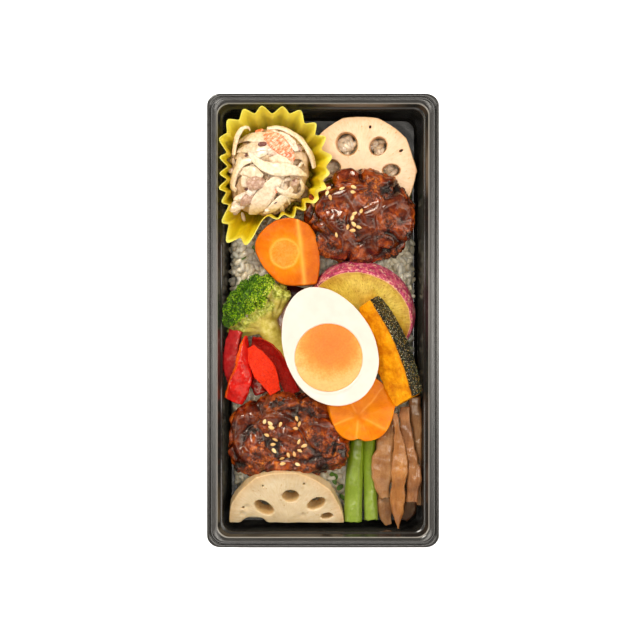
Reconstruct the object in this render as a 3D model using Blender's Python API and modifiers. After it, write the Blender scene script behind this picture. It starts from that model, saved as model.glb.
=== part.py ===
"""Bento box meal: a slim black tray packed with rice and the cooked pieces that lie on it.

Lengths below are in millimetres and angles in degrees. The functions that make objects turn them into metres
and radians. +X is across the tray, +Y along it, +Z up, and the origin is under the tray's middle.
"""

import math

import bmesh
import bpy
from mathutils import Matrix, Vector, noise

MM = 0.001
GAP = 0.3  # clearance between pieces that touch

# Tray
TRAY_WIDTH = 110.0
TRAY_LENGTH = 215.0
TRAY_HEIGHT = 38.0
TRAY_CORNER = 6.5
CORNER_STEPS = 4
FLOOR = 0.8
# (inset from the outer edge, height) of the tray's section: up the outside, over the rim and down the inside
OUTSIDE_SECTION = ((10.2, 0.0), (9.0, 1.8), (6.6, 32.2), (5.6, 33.0), (4.5, 36.7), (3.3, 37.0), (1.8, 33.4))
RIM_SECTION = ((0.2, 33.2), (0.0, 33.5), (0.0, 34.2), (0.3, 34.6), (1.2, 34.6), (1.9, 34.3), (2.3, 37.4))
INSIDE_SECTION = ((2.7, TRAY_HEIGHT), (4.4, 37.7), (5.1, 37.1), (6.4, 33.6), (7.4, 33.0), (9.8, 2.2), (10.9, FLOOR))

# Rice bed
RICE_CENTRE = (-0.4, -1.0)
RICE_HALF = (44.0, 91.0)
RICE_TOP = 18.2
RICE_UNEVEN = 0.9

# Pleated cup and the salad in it
CUP_CENTRE = (-24.0, 70.0)
CUP_FLUTES = 22
CUP_BASE_RADIUS = 19.0
CUP_BASE_HEIGHT = 14.5
CUP_RIM_HEIGHT = 39.5
CUP_PLEAT = 3.0
CUP_WALL = 0.4
CUP_LEVELS = (0.0, 0.8, 1.0)
SALAD_HALF = (21.9, 23.4)
SALAD_TOP = 42.5

# Lotus root
LOTUS_RADIUS = 26.7
LOTUS_THICKNESS = 7.5
HALF_LOTUS_RADIUS = 27.7
HALF_LOTUS_RING = 17.5
HALF_LOTUS_MIDDLE = (3.4, -3.1)

# Egg
EGG_HALF = (21.4, 29.2, 21.0)
EGG_CENTRE = (2.6, -11.9, 45.0)
EGG_TURN = 24.0
YOLK_RADIUS = 16.1
YOLK_SHIFT = -5.4

COLOURS = {
    "black_plastic": (0.022, 0.022, 0.022, 0.35),
    "rice_white": (0.78, 0.77, 0.72, 0.45),
    "cup_yellow": (0.62, 0.50, 0.05, 0.5),
    "salad_cream": (0.80, 0.72, 0.55, 0.4),
    "lotus_cream": (0.80, 0.66, 0.45, 0.35),
    "patty_brown": (0.17, 0.035, 0.015, 0.25),
    "carrot_orange": (0.87, 0.27, 0.03, 0.35),
    "broccoli_green": (0.12, 0.24, 0.02, 0.5),
    "egg_white": (0.93, 0.91, 0.84, 0.3),
    "egg_yolk": (0.93, 0.45, 0.07, 0.45),
    "sweet_potato_flesh": (0.60, 0.38, 0.08, 0.45),
    "pumpkin_flesh": (0.80, 0.33, 0.02, 0.45),
    "pepper_red": (0.60, 0.02, 0.01, 0.2),
    "bean_green": (0.25, 0.40, 0.05, 0.35),
    "mushroom_brown": (0.33, 0.16, 0.06, 0.35),
    "eggplant_brown": (0.35, 0.19, 0.07, 0.35),
}


def clear_scene():
    for obj in list(bpy.data.objects):
        bpy.data.objects.remove(obj)


def new_collection(name):
    collection = bpy.data.collections.new(name)
    bpy.context.scene.collection.children.link(collection)
    return collection


def make_material(name):
    red, green, blue, roughness = COLOURS[name]
    material = bpy.data.materials.new(name)
    material.use_nodes = True
    shader = material.node_tree.nodes["Principled BSDF"]
    shader.inputs["Base Color"].default_value = (red, green, blue, 1.0)
    shader.inputs["Roughness"].default_value = roughness
    shader.inputs["Metallic"].default_value = 0.0
    return material


def add_mesh(name, bm, colour, place=(0, 0, 0), turn=(0, 0, 0)):
    """A node of the part from a bmesh in millimetres, put at place and turned by the XYZ angles in turn."""
    bmesh.ops.recalc_face_normals(bm, faces=bm.faces)
    # a bent four-sided face could be split either way, so the split is made here, before any cut
    bmesh.ops.triangulate(bm, faces=bm.faces)
    bmesh.ops.scale(bm, vec=(MM, MM, MM), verts=bm.verts)
    mesh = bpy.data.meshes.new(name)
    bm.to_mesh(mesh)
    bm.free()
    mesh.shade_smooth()
    mesh.set_sharp_from_angle(angle=math.radians(35))
    mesh.materials.append(make_material(colour))
    obj = bpy.data.objects.new(name, mesh)
    PARTS.objects.link(obj)
    obj.location = Vector(place) * MM
    obj.rotation_euler = [math.radians(angle) for angle in turn]
    return obj


def add_cutter(name, bm):
    obj = add_mesh(name, bm, "black_plastic")
    PARTS.objects.unlink(obj)
    CUTTERS.objects.link(obj)
    obj.hide_render = True
    obj.display_type = "WIRE"
    return obj


def settle(obj):
    """Gives the object its evaluated mesh, so that later cuts and copies see its finished shape."""
    bpy.context.view_layer.update()
    graph = bpy.context.evaluated_depsgraph_get()
    mesh = bpy.data.meshes.new_from_object(obj.evaluated_get(graph))
    obj.modifiers.clear()
    obj.data = mesh
    bm = bmesh.new()
    bm.from_mesh(mesh)
    bmesh.ops.triangulate(bm, faces=bm.faces)
    bm.to_mesh(mesh)
    bm.free()


def keep_main_body(obj):
    """Drops the crumbs that a cut leaves loose: all but the piece with the most surface."""
    bm = bmesh.new()
    bm.from_mesh(obj.data)
    left = set(bm.faces)
    bodies = []
    while left:
        body, edge_of_body = set(), [left.pop()]
        while edge_of_body:
            face = edge_of_body.pop()
            body.add(face)
            for edge in face.edges:
                found = [other for other in edge.link_faces if other in left]
                left.difference_update(found)
                edge_of_body.extend(found)
        bodies.append(body)
    bodies.sort(key=lambda body: sum(face.calc_area() for face in body))
    for body in bodies[:-1]:
        bmesh.ops.delete(bm, geom=list(body), context="FACES")
    bm.to_mesh(obj.data)
    bm.free()


def boxes_meet(first, second):
    """Whether the two objects' boxes come within GAP of each other."""
    bpy.context.view_layer.update()
    boxes = [[obj.matrix_world @ Vector(corner) for corner in obj.bound_box] for obj in (first, second)]
    for axis in range(3):
        (low_a, high_a), (low_b, high_b) = [
            (min(corner[axis] for corner in box), max(corner[axis] for corner in box)) for box in boxes
        ]
        if low_a > high_b + GAP * MM or low_b > high_a + GAP * MM:
            return False
    return True


def clearance(obj):
    """A cutter a little larger than the object all round, with the object's shape as it is now."""
    cutter = obj.copy()
    cutter.name = "clear_" + obj.name
    CUTTERS.objects.link(cutter)
    cutter.hide_render = True
    cutter.display_type = "WIRE"
    swell = cutter.modifiers.new("clearance", "DISPLACE")
    swell.strength = GAP * MM
    swell.mid_level = 0.0
    return cutter


def cut(obj, cutter, operation="DIFFERENCE"):
    boolean = obj.modifiers.new(operation.lower(), "BOOLEAN")
    boolean.operation = operation
    boolean.object = cutter
    settle(obj)
    keep_main_body(obj)


def rounded_rectangle(half_x, half_y, radius, height):
    """Points round a rectangle whose corners are arcs, from the corner at +X +Y."""
    points = []
    for corner in range(4):
        sign_x = 1 if corner in (0, 3) else -1
        sign_y = 1 if corner in (0, 1) else -1
        for step in range(CORNER_STEPS + 1):
            angle = math.radians(90 * (corner + step / CORNER_STEPS))
            x = sign_x * (half_x - radius) + radius * math.cos(angle)
            y = sign_y * (half_y - radius) + radius * math.sin(angle)
            points.append((x, y, height))
    return points


def loft(rings):
    """A closed body through rings of equal point counts, with its first and last ring filled."""
    bm = bmesh.new()
    made = [[bm.verts.new(point) for point in ring] for ring in rings]
    for lower, upper in zip(made, made[1:]):
        for i in range(len(lower)):
            j = (i + 1) % len(lower)
            bm.faces.new((lower[i], lower[j], upper[j], upper[i]))
    bm.faces.new(reversed(made[0]))
    bm.faces.new(made[-1])
    return bm


def tray_ring(inset, height, radius=TRAY_CORNER):
    return rounded_rectangle(TRAY_WIDTH / 2 - inset, TRAY_LENGTH / 2 - inset, radius, height)


def make_tray():
    section = OUTSIDE_SECTION + RIM_SECTION + INSIDE_SECTION
    return add_mesh("tray", loft([tray_ring(inset, height) for inset, height in section]), "black_plastic")


def make_cavity():
    """The space inside the tray that food may fill, as a cutter."""
    inside = INSIDE_SECTION[:2:-1]
    rings = [tray_ring(inset + GAP, height) for inset, height in inside]
    rings[0] = tray_ring(inside[0][0] + GAP, FLOOR + GAP)
    top_inset = INSIDE_SECTION[2][0] + GAP
    rings.append(tray_ring(top_inset, INSIDE_SECTION[2][1]))
    rings.append(tray_ring(top_inset, 2 * TRAY_HEIGHT))
    return add_cutter("cavity", loft(rings))


def uneven(point, size, seed):
    """Smooth noise from -1 to 1 over a point in millimetres, with bumps about size apart."""
    return noise.noise(Vector(point) / size + Vector((seed, 2.7 * seed, 5.1 * seed)))


def make_rice():
    """The bed of rice, out to its uneven outline."""
    count = 44
    rings = []
    # (share of the outline, height before unevenness)
    levels = ((0.97, FLOOR + GAP), (1.0, 9.0), (0.985, RICE_TOP - 3.0), (0.95, RICE_TOP - 0.6))
    levels += tuple((share, RICE_TOP) for share in (0.84, 0.68, 0.5, 0.28))
    for level, (share, height) in enumerate(levels):
        ring = []
        for i in range(count):
            angle = 2 * math.pi * i / count
            across, along = math.cos(angle), math.sin(angle)
            reach = (abs(across) ** 7 + abs(along) ** 7) ** (-1 / 7)
            wave = 1 + 0.012 * uneven((40 * across, 90 * along, 0), 14, 3)
            x = RICE_CENTRE[0] + RICE_HALF[0] * share * reach * across * wave
            y = RICE_CENTRE[1] + RICE_HALF[1] * share * reach * along * wave
            rise = RICE_UNEVEN * uneven((x, y, 0), 7, 8) if level else 0
            ring.append((x, y, height + rise))
        rings.append(ring)
    return add_mesh("rice_bed", loft(rings), "rice_white")


def tray_inset(height):
    """How far the tray's inside wall stands in from its outer edge at a height."""
    below = INSIDE_SECTION[-1]
    for above in reversed(INSIDE_SECTION[:-1]):
        if height <= above[1]:
            share = (height - below[1]) / (above[1] - below[1])
            return below[0] + (above[0] - below[0]) * share
        below = above
    return 5.1


def reach_to_wall(centre, angle, height):
    """Distance from centre to the tray's side or end wall, seen along angle."""
    inset = tray_inset(height) + GAP
    wall_x, wall_y = TRAY_WIDTH / 2 - inset, TRAY_LENGTH / 2 - inset
    across, along = math.cos(angle), math.sin(angle)
    reach = math.inf
    if across:
        reach = (math.copysign(wall_x, across) - centre[0]) / across
    if along:
        reach = min(reach, (math.copysign(wall_y, along) - centre[1]) / along)
    return reach


def cup_rim_radius(angle):
    """Reach of the cup's flute tips: pressed out at the top left and pulled into a spur at the lower left."""
    spur = 14.0 * math.exp(-(((math.degrees(angle) + 116.0 + 180) % 360 - 180) / 20.0) ** 2)
    return 28.8 + 3.8 * math.cos(angle - math.radians(105)) + spur


def cup_point(angle, share, pleat):
    """A point of the cup's wall: share 0 at the base and 1 at the rim, pleat 0 at a tip and 1 in a valley."""
    height = CUP_BASE_HEIGHT + (CUP_RIM_HEIGHT - CUP_BASE_HEIGHT) * share**1.25
    tip = CUP_BASE_RADIUS + (cup_rim_radius(angle) - CUP_BASE_RADIUS) * share
    tip = min(tip, reach_to_wall(CUP_CENTRE, angle, height) - 2.5 * CUP_WALL)
    radius = tip - CUP_PLEAT * (0.5 + 0.5 * share) * pleat
    return (
        CUP_CENTRE[0] + radius * math.cos(angle),
        CUP_CENTRE[1] + radius * math.sin(angle),
        height,
    )


def make_cup():
    bm = bmesh.new()
    count = 4 * CUP_FLUTES
    pleats = (0.0, 0.5, 1.0, 0.5)
    rings = []
    for share in CUP_LEVELS:
        angles = [2 * math.pi * i / count for i in range(count)]
        rings.append([bm.verts.new(cup_point(angle, share, pleats[i % 4])) for i, angle in enumerate(angles)])
    for lower, upper in zip(rings, rings[1:]):
        for i in range(count):
            j = (i + 1) % count
            bm.faces.new((lower[i], lower[j], upper[j], upper[i]))
    bm.faces.new(reversed(rings[0]))
    cup = add_mesh("food_cup", bm, "cup_yellow")
    wall = cup.modifiers.new("wall", "SOLIDIFY")
    wall.thickness = CUP_WALL * MM
    wall.offset = 1.0
    wall.use_even_offset = False
    settle(cup)
    return cup


def make_cup_envelope():
    """The cup's outer hull with clearance, filled, as a cutter."""
    count = 32
    rings = []
    for share in CUP_LEVELS:
        ring = []
        for i in range(count):
            angle = 2 * math.pi * i / count
            x, y, z = cup_point(angle, share, 0.0)
            reach = 2 * GAP + CUP_WALL
            ring.append((x + reach * math.cos(angle), y + reach * math.sin(angle), z - GAP))
        rings.append(ring)
    base = CUP_BASE_HEIGHT - CUP_WALL - 2 * GAP
    rings.insert(0, [(x, y, base) for x, y, z in rings[0]])
    rings.append([(x, y, CUP_RIM_HEIGHT + 2) for x, y, z in rings[-1]])
    return add_cutter("cup_envelope", loft(rings))


def make_salad():
    """The mound of salad, kept clear of the cup's valleys."""
    count = 20
    base = CUP_BASE_HEIGHT + 2 * GAP
    # (share of the mound's half sizes, height)
    levels = ((0.74, base), (0.86, base + 6), (0.95, base + 12), (1.0, base + 17), (0.97, base + 20))
    levels += ((0.82, SALAD_TOP - 3.0), (0.56, SALAD_TOP - 1.0), (0.26, SALAD_TOP))
    rings = []
    for level, (share, height) in enumerate(levels):
        ring = []
        up = max(0.0, min(1.0, (height - CUP_BASE_HEIGHT) / (CUP_RIM_HEIGHT - CUP_BASE_HEIGHT))) ** 0.8
        for i in range(count):
            angle = 2 * math.pi * i / count
            x, y = SALAD_HALF[0] * share * math.cos(angle), SALAD_HALF[1] * share * math.sin(angle)
            lump = uneven((x, y, height), 6, 4)
            reach = math.hypot(x, y) + (1.4 * lump if level > 3 else 0)
            valley = Vector(cup_point(angle, up, 1.0)) - Vector((*CUP_CENTRE, 0))
            reach = min(reach, math.hypot(valley.x, valley.y) - 1.2)
            rise = 1.3 * uneven((x, y, 9), 7, 6) if level > 4 else 0
            ring.append(
                (
                    CUP_CENTRE[0] + reach * math.cos(angle),
                    CUP_CENTRE[1] + 0.3 + reach * math.sin(angle),
                    height + rise,
                )
            )
        rings.append(ring)
    return add_mesh("salad", loft(rings), "salad_cream")


def add_slab(name, outlines, thickness, colour, place, turn=(0, 0, 0)):
    """A flat slice: closed outlines in its own plane, the first its edge and the others holes, top face at place."""
    curve = bpy.data.curves.new(name, "CURVE")
    curve.dimensions = "2D"
    curve.fill_mode = "BOTH"
    curve.extrude = thickness / 2 * MM
    for outline in outlines:
        spline = curve.splines.new("POLY")
        spline.points.add(len(outline) - 1)
        for point, (x, y) in zip(spline.points, outline):
            point.co = (x * MM, y * MM, 0, 1)
        spline.use_cyclic_u = True
    flat = bpy.data.objects.new(name, curve)
    PARTS.objects.link(flat)
    bpy.context.view_layer.update()
    graph = bpy.context.evaluated_depsgraph_get()
    mesh = bpy.data.meshes.new_from_object(flat.evaluated_get(graph))
    bpy.data.objects.remove(flat)
    bm = bmesh.new()
    bm.from_mesh(mesh)
    bpy.data.meshes.remove(mesh)
    bmesh.ops.remove_doubles(bm, verts=bm.verts, dist=0.00001)
    bmesh.ops.scale(bm, vec=(1 / MM, 1 / MM, 1 / MM), verts=bm.verts)
    bmesh.ops.translate(bm, vec=(0, 0, -thickness / 2), verts=bm.verts)
    return add_mesh(name, bm, colour, place, turn)


def ellipse(centre, half, steps=12, turn=0.0):
    points = []
    for i in range(steps):
        angle = 2 * math.pi * i / steps
        x, y = half[0] * math.cos(angle), half[1] * math.sin(angle)
        spin = math.radians(turn)
        points.append(
            (
                centre[0] + x * math.cos(spin) - y * math.sin(spin),
                centre[1] + x * math.sin(spin) + y * math.cos(spin),
            )
        )
    return points


def around(radius, angle):
    return radius * math.cos(math.radians(angle)), radius * math.sin(math.radians(angle))


def peeled_round(radius, facets, steps, first=0, span=360, seed=1):
    """An outline round a peeled root: an arc flattened into facets of uneven depth."""
    points = []
    for i in range(steps):
        angle = first + span * i / steps
        within = (angle % (360 / facets)) / (360 / facets)
        bulge = math.sin(math.pi * within)
        reach = radius * (0.975 + 0.025 * (1 - bulge)) + 0.5 * uneven((angle / 9, 0, 0), 3, seed)
        points.append(around(reach, angle))
    return points


def make_upper_lotus():
    ring = 14.6
    outlines = [peeled_round(LOTUS_RADIUS, 10, 30)]
    # (angle, half length, half width) of each hole round the middle
    for angle, half_long, half_wide in (
        (116.6, 5.9, 5.2),
        (55.0, 4.7, 4.3),
        (1.8, 4.5, 3.1),
        (171.0, 5.0, 3.6),
    ):
        outlines.append(ellipse(around(ring, angle), (half_long, half_wide), turn=angle))
    for angle in (78, 27):
        outlines.append(ellipse(around(21.5, angle), (0.8, 0.6), 8, angle))
    return add_slab("lotus_slice_upper", outlines, LOTUS_THICKNESS, "lotus_cream", (17.9, 70.9, 28.2), (2, -2, 0))


def make_lower_lotus():
    """Half a slice whose round edge leans on the patty, with its cut edge low."""
    outline = peeled_round(HALF_LOTUS_RADIUS, 9, 34, 0, 185, 5)
    outlines = [[(x, max(y, 0.0)) for x, y in outline if y > -0.5]]
    # (angle, half length outwards, half width) of each hole round the root's middle, which the cut missed
    for angle, half_long, half_wide in (
        (140.0, 3.2, 5.2),
        (93.0, 2.7, 4.3),
        (50.0, 2.7, 4.7),
        (22.0, 1.9, 2.7),
    ):
        x, y = around(HALF_LOTUS_RING, angle)
        centre = (x + HALF_LOTUS_MIDDLE[0], y + HALF_LOTUS_MIDDLE[1])
        outlines.append(ellipse(centre, (half_long, half_wide), turn=angle))
    place = (-17.9, -96.2, 27.5)
    lotus = add_slab("lotus_slice_lower", outlines, LOTUS_THICKNESS, "lotus_cream", place, (26, 0, 0))
    notch = bmesh.new()
    bmesh.ops.create_uvsphere(notch, u_segments=12, v_segments=8, radius=1)
    bmesh.ops.scale(notch, vec=(6.4, 3.0, 14), verts=notch.verts)
    bmesh.ops.translate(notch, vec=(-32.8, -96.6, 24.0), verts=notch.verts)
    cut(lotus, add_cutter("lotus_notch", notch))
    return lotus


def add_lump(name, half, colour, place, turn, square, roughness, detail, seed, taper=0.0):
    """A round body: a ball squared off a little, stretched to half and made uneven by roughness (depth, bump size).

    detail is the ball's count of meridians, and taper narrows it towards +Y.
    """
    bm = bmesh.new()
    bmesh.ops.create_uvsphere(bm, u_segments=detail, v_segments=detail // 2, radius=1)
    for vert in bm.verts:
        direction = vert.co.normalized()
        reach = sum(abs(part) ** (2 * square) for part in direction) ** (-1 / (2 * square))
        point = Vector(part * reach * size for part, size in zip(direction, half))
        vert.co = point + direction * roughness[0] * uneven(point, roughness[1], seed)
        vert.co.x *= 1 - taper * vert.co.y / half[1]
    return add_mesh(name, bm, colour, place, turn)


def make_patties():
    upper = add_lump(
        "patty_upper", (26.2, 22.4, 10.4), "patty_brown", (17.2, 49.3, 30.7), (0, 0, 0), 1.15, (1.8, 5.5), 24, 2
    )
    lower = add_lump(
        "patty_lower", (28.8, 20.6, 10.0), "patty_brown", (-16.3, -54.6, 30.1), (0, 0, 2), 1.3, (1.5, 4.5), 24, 7, 0.09
    )
    return upper, lower


def smooth_outline(points, steps=4):
    """A closed outline through the points, rounded between them by Catmull-Rom pieces."""
    result = []
    count = len(points)
    for i in range(count):
        before, start, end, after = [Vector(points[(i + k) % count]) for k in (-1, 0, 1, 2)]
        for step in range(steps):
            t = step / steps
            point = 0.5 * (
                2 * start
                + (end - before) * t
                + (2 * before - 5 * start + 4 * end - after) * t**2
                + (3 * start - before - 3 * end + after) * t**3
            )
            result.append(tuple(point))
    return result


def slice_off(bm, point, normal):
    """Cuts away what lies beyond the plane and closes the cut."""
    cut_edges = bmesh.ops.bisect_plane(
        bm,
        geom=list(bm.verts) + list(bm.edges) + list(bm.faces),
        plane_co=point,
        plane_no=normal,
        clear_outer=True,
    )["geom_cut"]
    bmesh.ops.edgeloop_fill(bm, edges=[item for item in cut_edges if isinstance(item, bmesh.types.BMEdge)])


def make_carrot_chunk():
    """A roll-cut chunk: two sloping cut faces that meet at a ridge."""
    outline = ((-30.1, 43.2), (-22.6, 48.4), (-10.0, 48.6), (-4.6, 41.0), (-1.6, 28.5), (-2.6, 19.0))
    outline += ((-5.5, 16.9), (-18.6, 17.0), (-28.0, 24.5), (-32.6, 35.0))
    bm = loft([[(x, y, height) for x, y in smooth_outline(outline, 3)] for height in (20.2, 28, 36, 44)])
    ridge_start, ridge_end = Vector((-12.0, 48.5, 40.5)), Vector((-8.6, 17.8, 38.5))
    along = ridge_end - ridge_start
    for drop, side in ((6.0, -1), (30.0, 1)):
        across = Vector((side * math.cos(math.radians(drop)), 0, -math.sin(math.radians(drop))))
        normal = along.cross(across)
        slice_off(bm, ridge_start, normal if normal.z > 0 else -normal)
    chunk = add_mesh("carrot_chunk", bm, "carrot_orange")
    edge = chunk.modifiers.new("worn edge", "BEVEL")
    edge.width = 0.6 * MM
    edge.segments = 1
    edge.limit_method = "ANGLE"
    edge.angle_limit = math.radians(25)
    settle(chunk)
    return chunk


def make_carrot_flower():
    """A slice cut as a five-petal blossom, with one deeper notch."""
    outline = []
    for i in range(30):
        angle = 360 * i / 30
        petal = math.cos(math.radians(5 * (angle - 306))) * 0.7
        notch = 2.2 * math.exp(-(((angle - 270) / 8) ** 2))
        outline.append(around(15.6 + petal - notch, angle))
    return add_slab("carrot_flower", [outline], 6.5, "carrot_orange", (18.9, -42.6, 36.6), (0, 13, 0))


def make_broccoli():
    """Heads on branching stems, melted into one body."""
    bm = bmesh.new()
    heads = ((-33.5, 8.5, 35.0, 8.2),)
    # (angle round the head, distance, height, radius) of the outer florets
    for angle, distance, height, radius in (
        (10, 9.5, 33.5, 5.6),
        (55, 9.0, 34.0, 5.8),
        (100, 9.0, 34.0, 6.0),
        (150, 9.5, 33.0, 6.0),
        (195, 9.5, 32.0, 5.6),
        (225, 12.0, 30.0, 5.0),
        (265, 7.5, 35.0, 5.0),
        (320, 8.5, 34.0, 5.0),
    ):
        x, y = around(distance, angle)
        heads += ((-33.5 + x, 8.5 + y, height, radius),)
    for number, (x, y, z, radius) in enumerate(heads):
        place = Matrix.Translation((x, y, z))
        ball = bmesh.ops.create_icosphere(bm, subdivisions=3, radius=radius, matrix=place)["verts"]
        for vert in ball:
            vert.co += (vert.co - Vector((x, y, z))).normalized() * 0.9 * uneven(vert.co, 2.6, number)
    # stems as (start, end, radius at the start, radius at the end)
    for start, end, thick, thin in (
        ((-32, 6, 30), (-15, -20, 28), 6.0, 4.6),
        ((-31, 2, 29), (-42, -3, 27), 4.2, 3.2),
        ((-27, 2, 30), (-19, 8, 31), 3.4, 3.0),
    ):
        start, end = Vector(start), Vector(end)
        turn = (end - start).to_track_quat("Z", "Y").to_matrix().to_4x4()
        middle = Matrix.Translation((start + end) / 2) @ turn
        bmesh.ops.create_cone(
            bm,
            cap_ends=True,
            segments=14,
            radius1=thick,
            radius2=thin,
            depth=(end - start).length,
            matrix=middle,
        )
    broccoli = add_mesh("broccoli", bm, "broccoli_green")
    melt = broccoli.modifiers.new("melt together", "REMESH")
    melt.mode = "VOXEL"
    melt.voxel_size = 3.2 * MM
    settle(broccoli)
    return broccoli


def egg_body(half, detail=(24, 12)):
    """The lower half of an egg, its long axis along Y with the blunt end at -Y, the cut face at Z 0."""
    bm = bmesh.new()
    bmesh.ops.create_uvsphere(bm, u_segments=detail[0], v_segments=detail[1], radius=1)
    bmesh.ops.rotate(bm, matrix=Matrix.Rotation(math.pi / 2, 3, "X"), verts=bm.verts)
    for vert in bm.verts:
        blunt = 1 - 0.10 * vert.co.y
        vert.co = Vector((vert.co.x * half[0] * blunt, vert.co.y * half[1], vert.co.z * half[2] * blunt))
    slice_off(bm, (0, 0, 0), (0, 0, 1))
    return bm


def make_egg():
    tilt = (-2, 4, EGG_TURN)
    white = add_mesh("egg_white", egg_body(EGG_HALF), "egg_white", EGG_CENTRE, tilt)
    turn = white.rotation_euler.to_matrix()
    yolk_place = Vector(EGG_CENTRE) + turn @ Vector((-1.0, YOLK_SHIFT, 0))
    bm = bmesh.new()
    bmesh.ops.create_uvsphere(bm, u_segments=24, v_segments=10, radius=YOLK_RADIUS)
    slice_off(bm, (0, 0, 0), (0, 0, 1))
    yolk = add_mesh("egg_yolk", bm, "egg_yolk", yolk_place, tilt)
    whole = add_mesh("egg_whole", egg_body(EGG_HALF), "egg_white", EGG_CENTRE, tilt)
    PARTS.objects.unlink(whole)
    CUTTERS.objects.link(whole)
    whole.hide_render = True
    whole.display_type = "WIRE"
    bpy.context.view_layer.update()
    hollow = bmesh.new()
    bmesh.ops.create_uvsphere(hollow, u_segments=24, v_segments=10, radius=YOLK_RADIUS + 1.5 * GAP)
    bmesh.ops.translate(hollow, vec=yolk_place, verts=hollow.verts)
    cut(white, add_cutter("yolk_hollow", hollow))
    return white, yolk, whole


def make_sweet_potato():
    radius, thickness, steps = 24.2, 12.0, 28
    # (share of the radius, depth below the top face): the rim bulges a little
    section = ((1.0, 0.0), (1.03, -thickness / 3), (1.03, -2 * thickness / 3), (1.0, -thickness))
    rings = []
    for share, height in section:
        ring = []
        for i in range(steps):
            angle = 360 * i / steps
            reach = radius * share * (1 + 0.045 * math.cos(math.radians(2 * (angle - 150))))
            ring.append((*around(reach, angle), height))
        rings.append(ring)
    return add_mesh("sweet_potato", loft(rings), "sweet_potato_flesh", (17.6, 2.2, 31.0), (25, -8, 0))


def make_pumpkin():
    """A slice of squash leaning on its flesh side: the outline's outer side is rind, its inner side the cut edge."""
    half_length, bow, thickness = 25.0, 3.0, 10.0
    stations = [i / 4 - 1 for i in range(9)]
    outer = [(half_length * t, bow * (1 - t * t)) for t in stations]
    # the cut edge starts further down the slice, runs a little past its end, and is furthest in between
    inner = [(23.0 * t + 4.0, -9.0 - 2.8 * t - 3.5 * (1 - t * t)) for t in reversed(stations)]
    centre = (32.7, -12.6, 42.3)
    # local X runs down the slice, and local Y out to the rind
    return add_slab("pumpkin_slice", [outer + inner], thickness, "pumpkin_flesh", centre, (33, 0, -66.5))


def add_strip(name, points, half_widths, flat, colour, sides=8, ends=0.6):
    """A cooked strip along a curve: half as wide as half_widths at its points, and flat times that in depth."""
    profile = bpy.data.curves.new(name + "_section", "CURVE")
    profile.dimensions = "2D"
    edge = profile.splines.new("POLY")
    edge.points.add(sides - 1)
    for i, point in enumerate(edge.points):
        angle = 2 * math.pi * i / sides
        x = math.copysign(abs(math.cos(angle)) ** 0.7, math.cos(angle))
        y = math.copysign(abs(math.sin(angle)) ** 0.7, math.sin(angle))
        point.co = (x * MM, y * flat * MM, 0, 1)
    edge.use_cyclic_u = True
    section = bpy.data.objects.new(name + "_section", profile)
    CUTTERS.objects.link(section)
    section.hide_render = True
    section.display_type = "WIRE"
    curve = bpy.data.curves.new(name, "CURVE")
    curve.dimensions = "3D"
    curve.twist_mode = "Z_UP"
    curve.bevel_mode = "OBJECT"
    curve.bevel_object = section
    curve.use_fill_caps = True
    curve.resolution_u = 3
    spline = curve.splines.new("BEZIER")
    spline.bezier_points.add(len(points) - 1)
    for number, (knot, point, width) in enumerate(zip(spline.bezier_points, points, half_widths)):
        knot.co = Vector(point) * MM
        knot.handle_left_type = knot.handle_right_type = "AUTO"
        at_end = number in (0, len(points) - 1)
        knot.radius = width * (ends if at_end else 1.0)
    strip = bpy.data.objects.new(name, curve)
    PARTS.objects.link(strip)
    bpy.context.view_layer.update()
    graph = bpy.context.evaluated_depsgraph_get()
    mesh = bpy.data.meshes.new_from_object(strip.evaluated_get(graph))
    bpy.data.objects.remove(strip)
    bm = bmesh.new()
    bm.from_mesh(mesh)
    bpy.data.meshes.remove(mesh)
    bmesh.ops.remove_doubles(bm, verts=bm.verts, dist=0.00001)
    bmesh.ops.scale(bm, vec=(1 / MM, 1 / MM, 1 / MM), verts=bm.verts)
    return add_mesh(name, bm, colour)


def make_peppers():
    # (points along the strip, half width at each, depth as a share of the width)
    strips = (
        (((-42.2, -5.5, 30), (-43.2, -14, 31), (-43.6, -21, 31), (-42.4, -30.5, 29)), (3.3, 3.3, 2.8, 2.4), 0.9),
        (((-36.9, -8.2, 33), (-38.2, -17, 35), (-38.6, -27, 34.5), (-43.0, -38.2, 30)), (2.4, 3.1, 4.7, 3.6), 0.6),
        (((-32.0, -12.6, 34), (-29.4, -20, 36), (-25.6, -28, 36), (-21.9, -34.6, 35)), (2.6, 4.1, 4.0, 2.8), 0.7),
        (((-31.6, -10.8, 30), (-24.6, -15.5, 31), (-19.4, -24, 31), (-15.3, -34.4, 31)), (2.6, 3.4, 3.5, 3.4), 0.8),
        (((-36.0, -20.0, 26), (-33.5, -26.0, 27), (-30.0, -33.0, 28)), (2.6, 2.6, 2.6), 1.0),
    )
    return [
        add_strip(f"pepper_strip_{number}", points, widths, flat, "pepper_red", ends=0.8)
        for number, (points, widths, flat) in enumerate(strips, 1)
    ]


def make_beans():
    # (points along the bean, half width at each)
    beans = (
        (((14.8, -55.5, 25.5), (14.6, -68, 25), (14.3, -82, 24.8), (13.9, -96.0, 24.6)), (4.1, 4.2, 4.4, 4.5)),
        (((22.2, -55.5, 25.2), (22.0, -68, 24.6), (22.4, -82, 24.4), (22.6, -95.2, 24.4)), (3.6, 3.6, 3.6, 3.6)),
    )
    return [
        add_strip(f"bean_{number}", points, widths, 1.0, "bean_green", 8, 0.95)
        for number, (points, widths) in enumerate(beans, 1)
    ]


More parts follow.
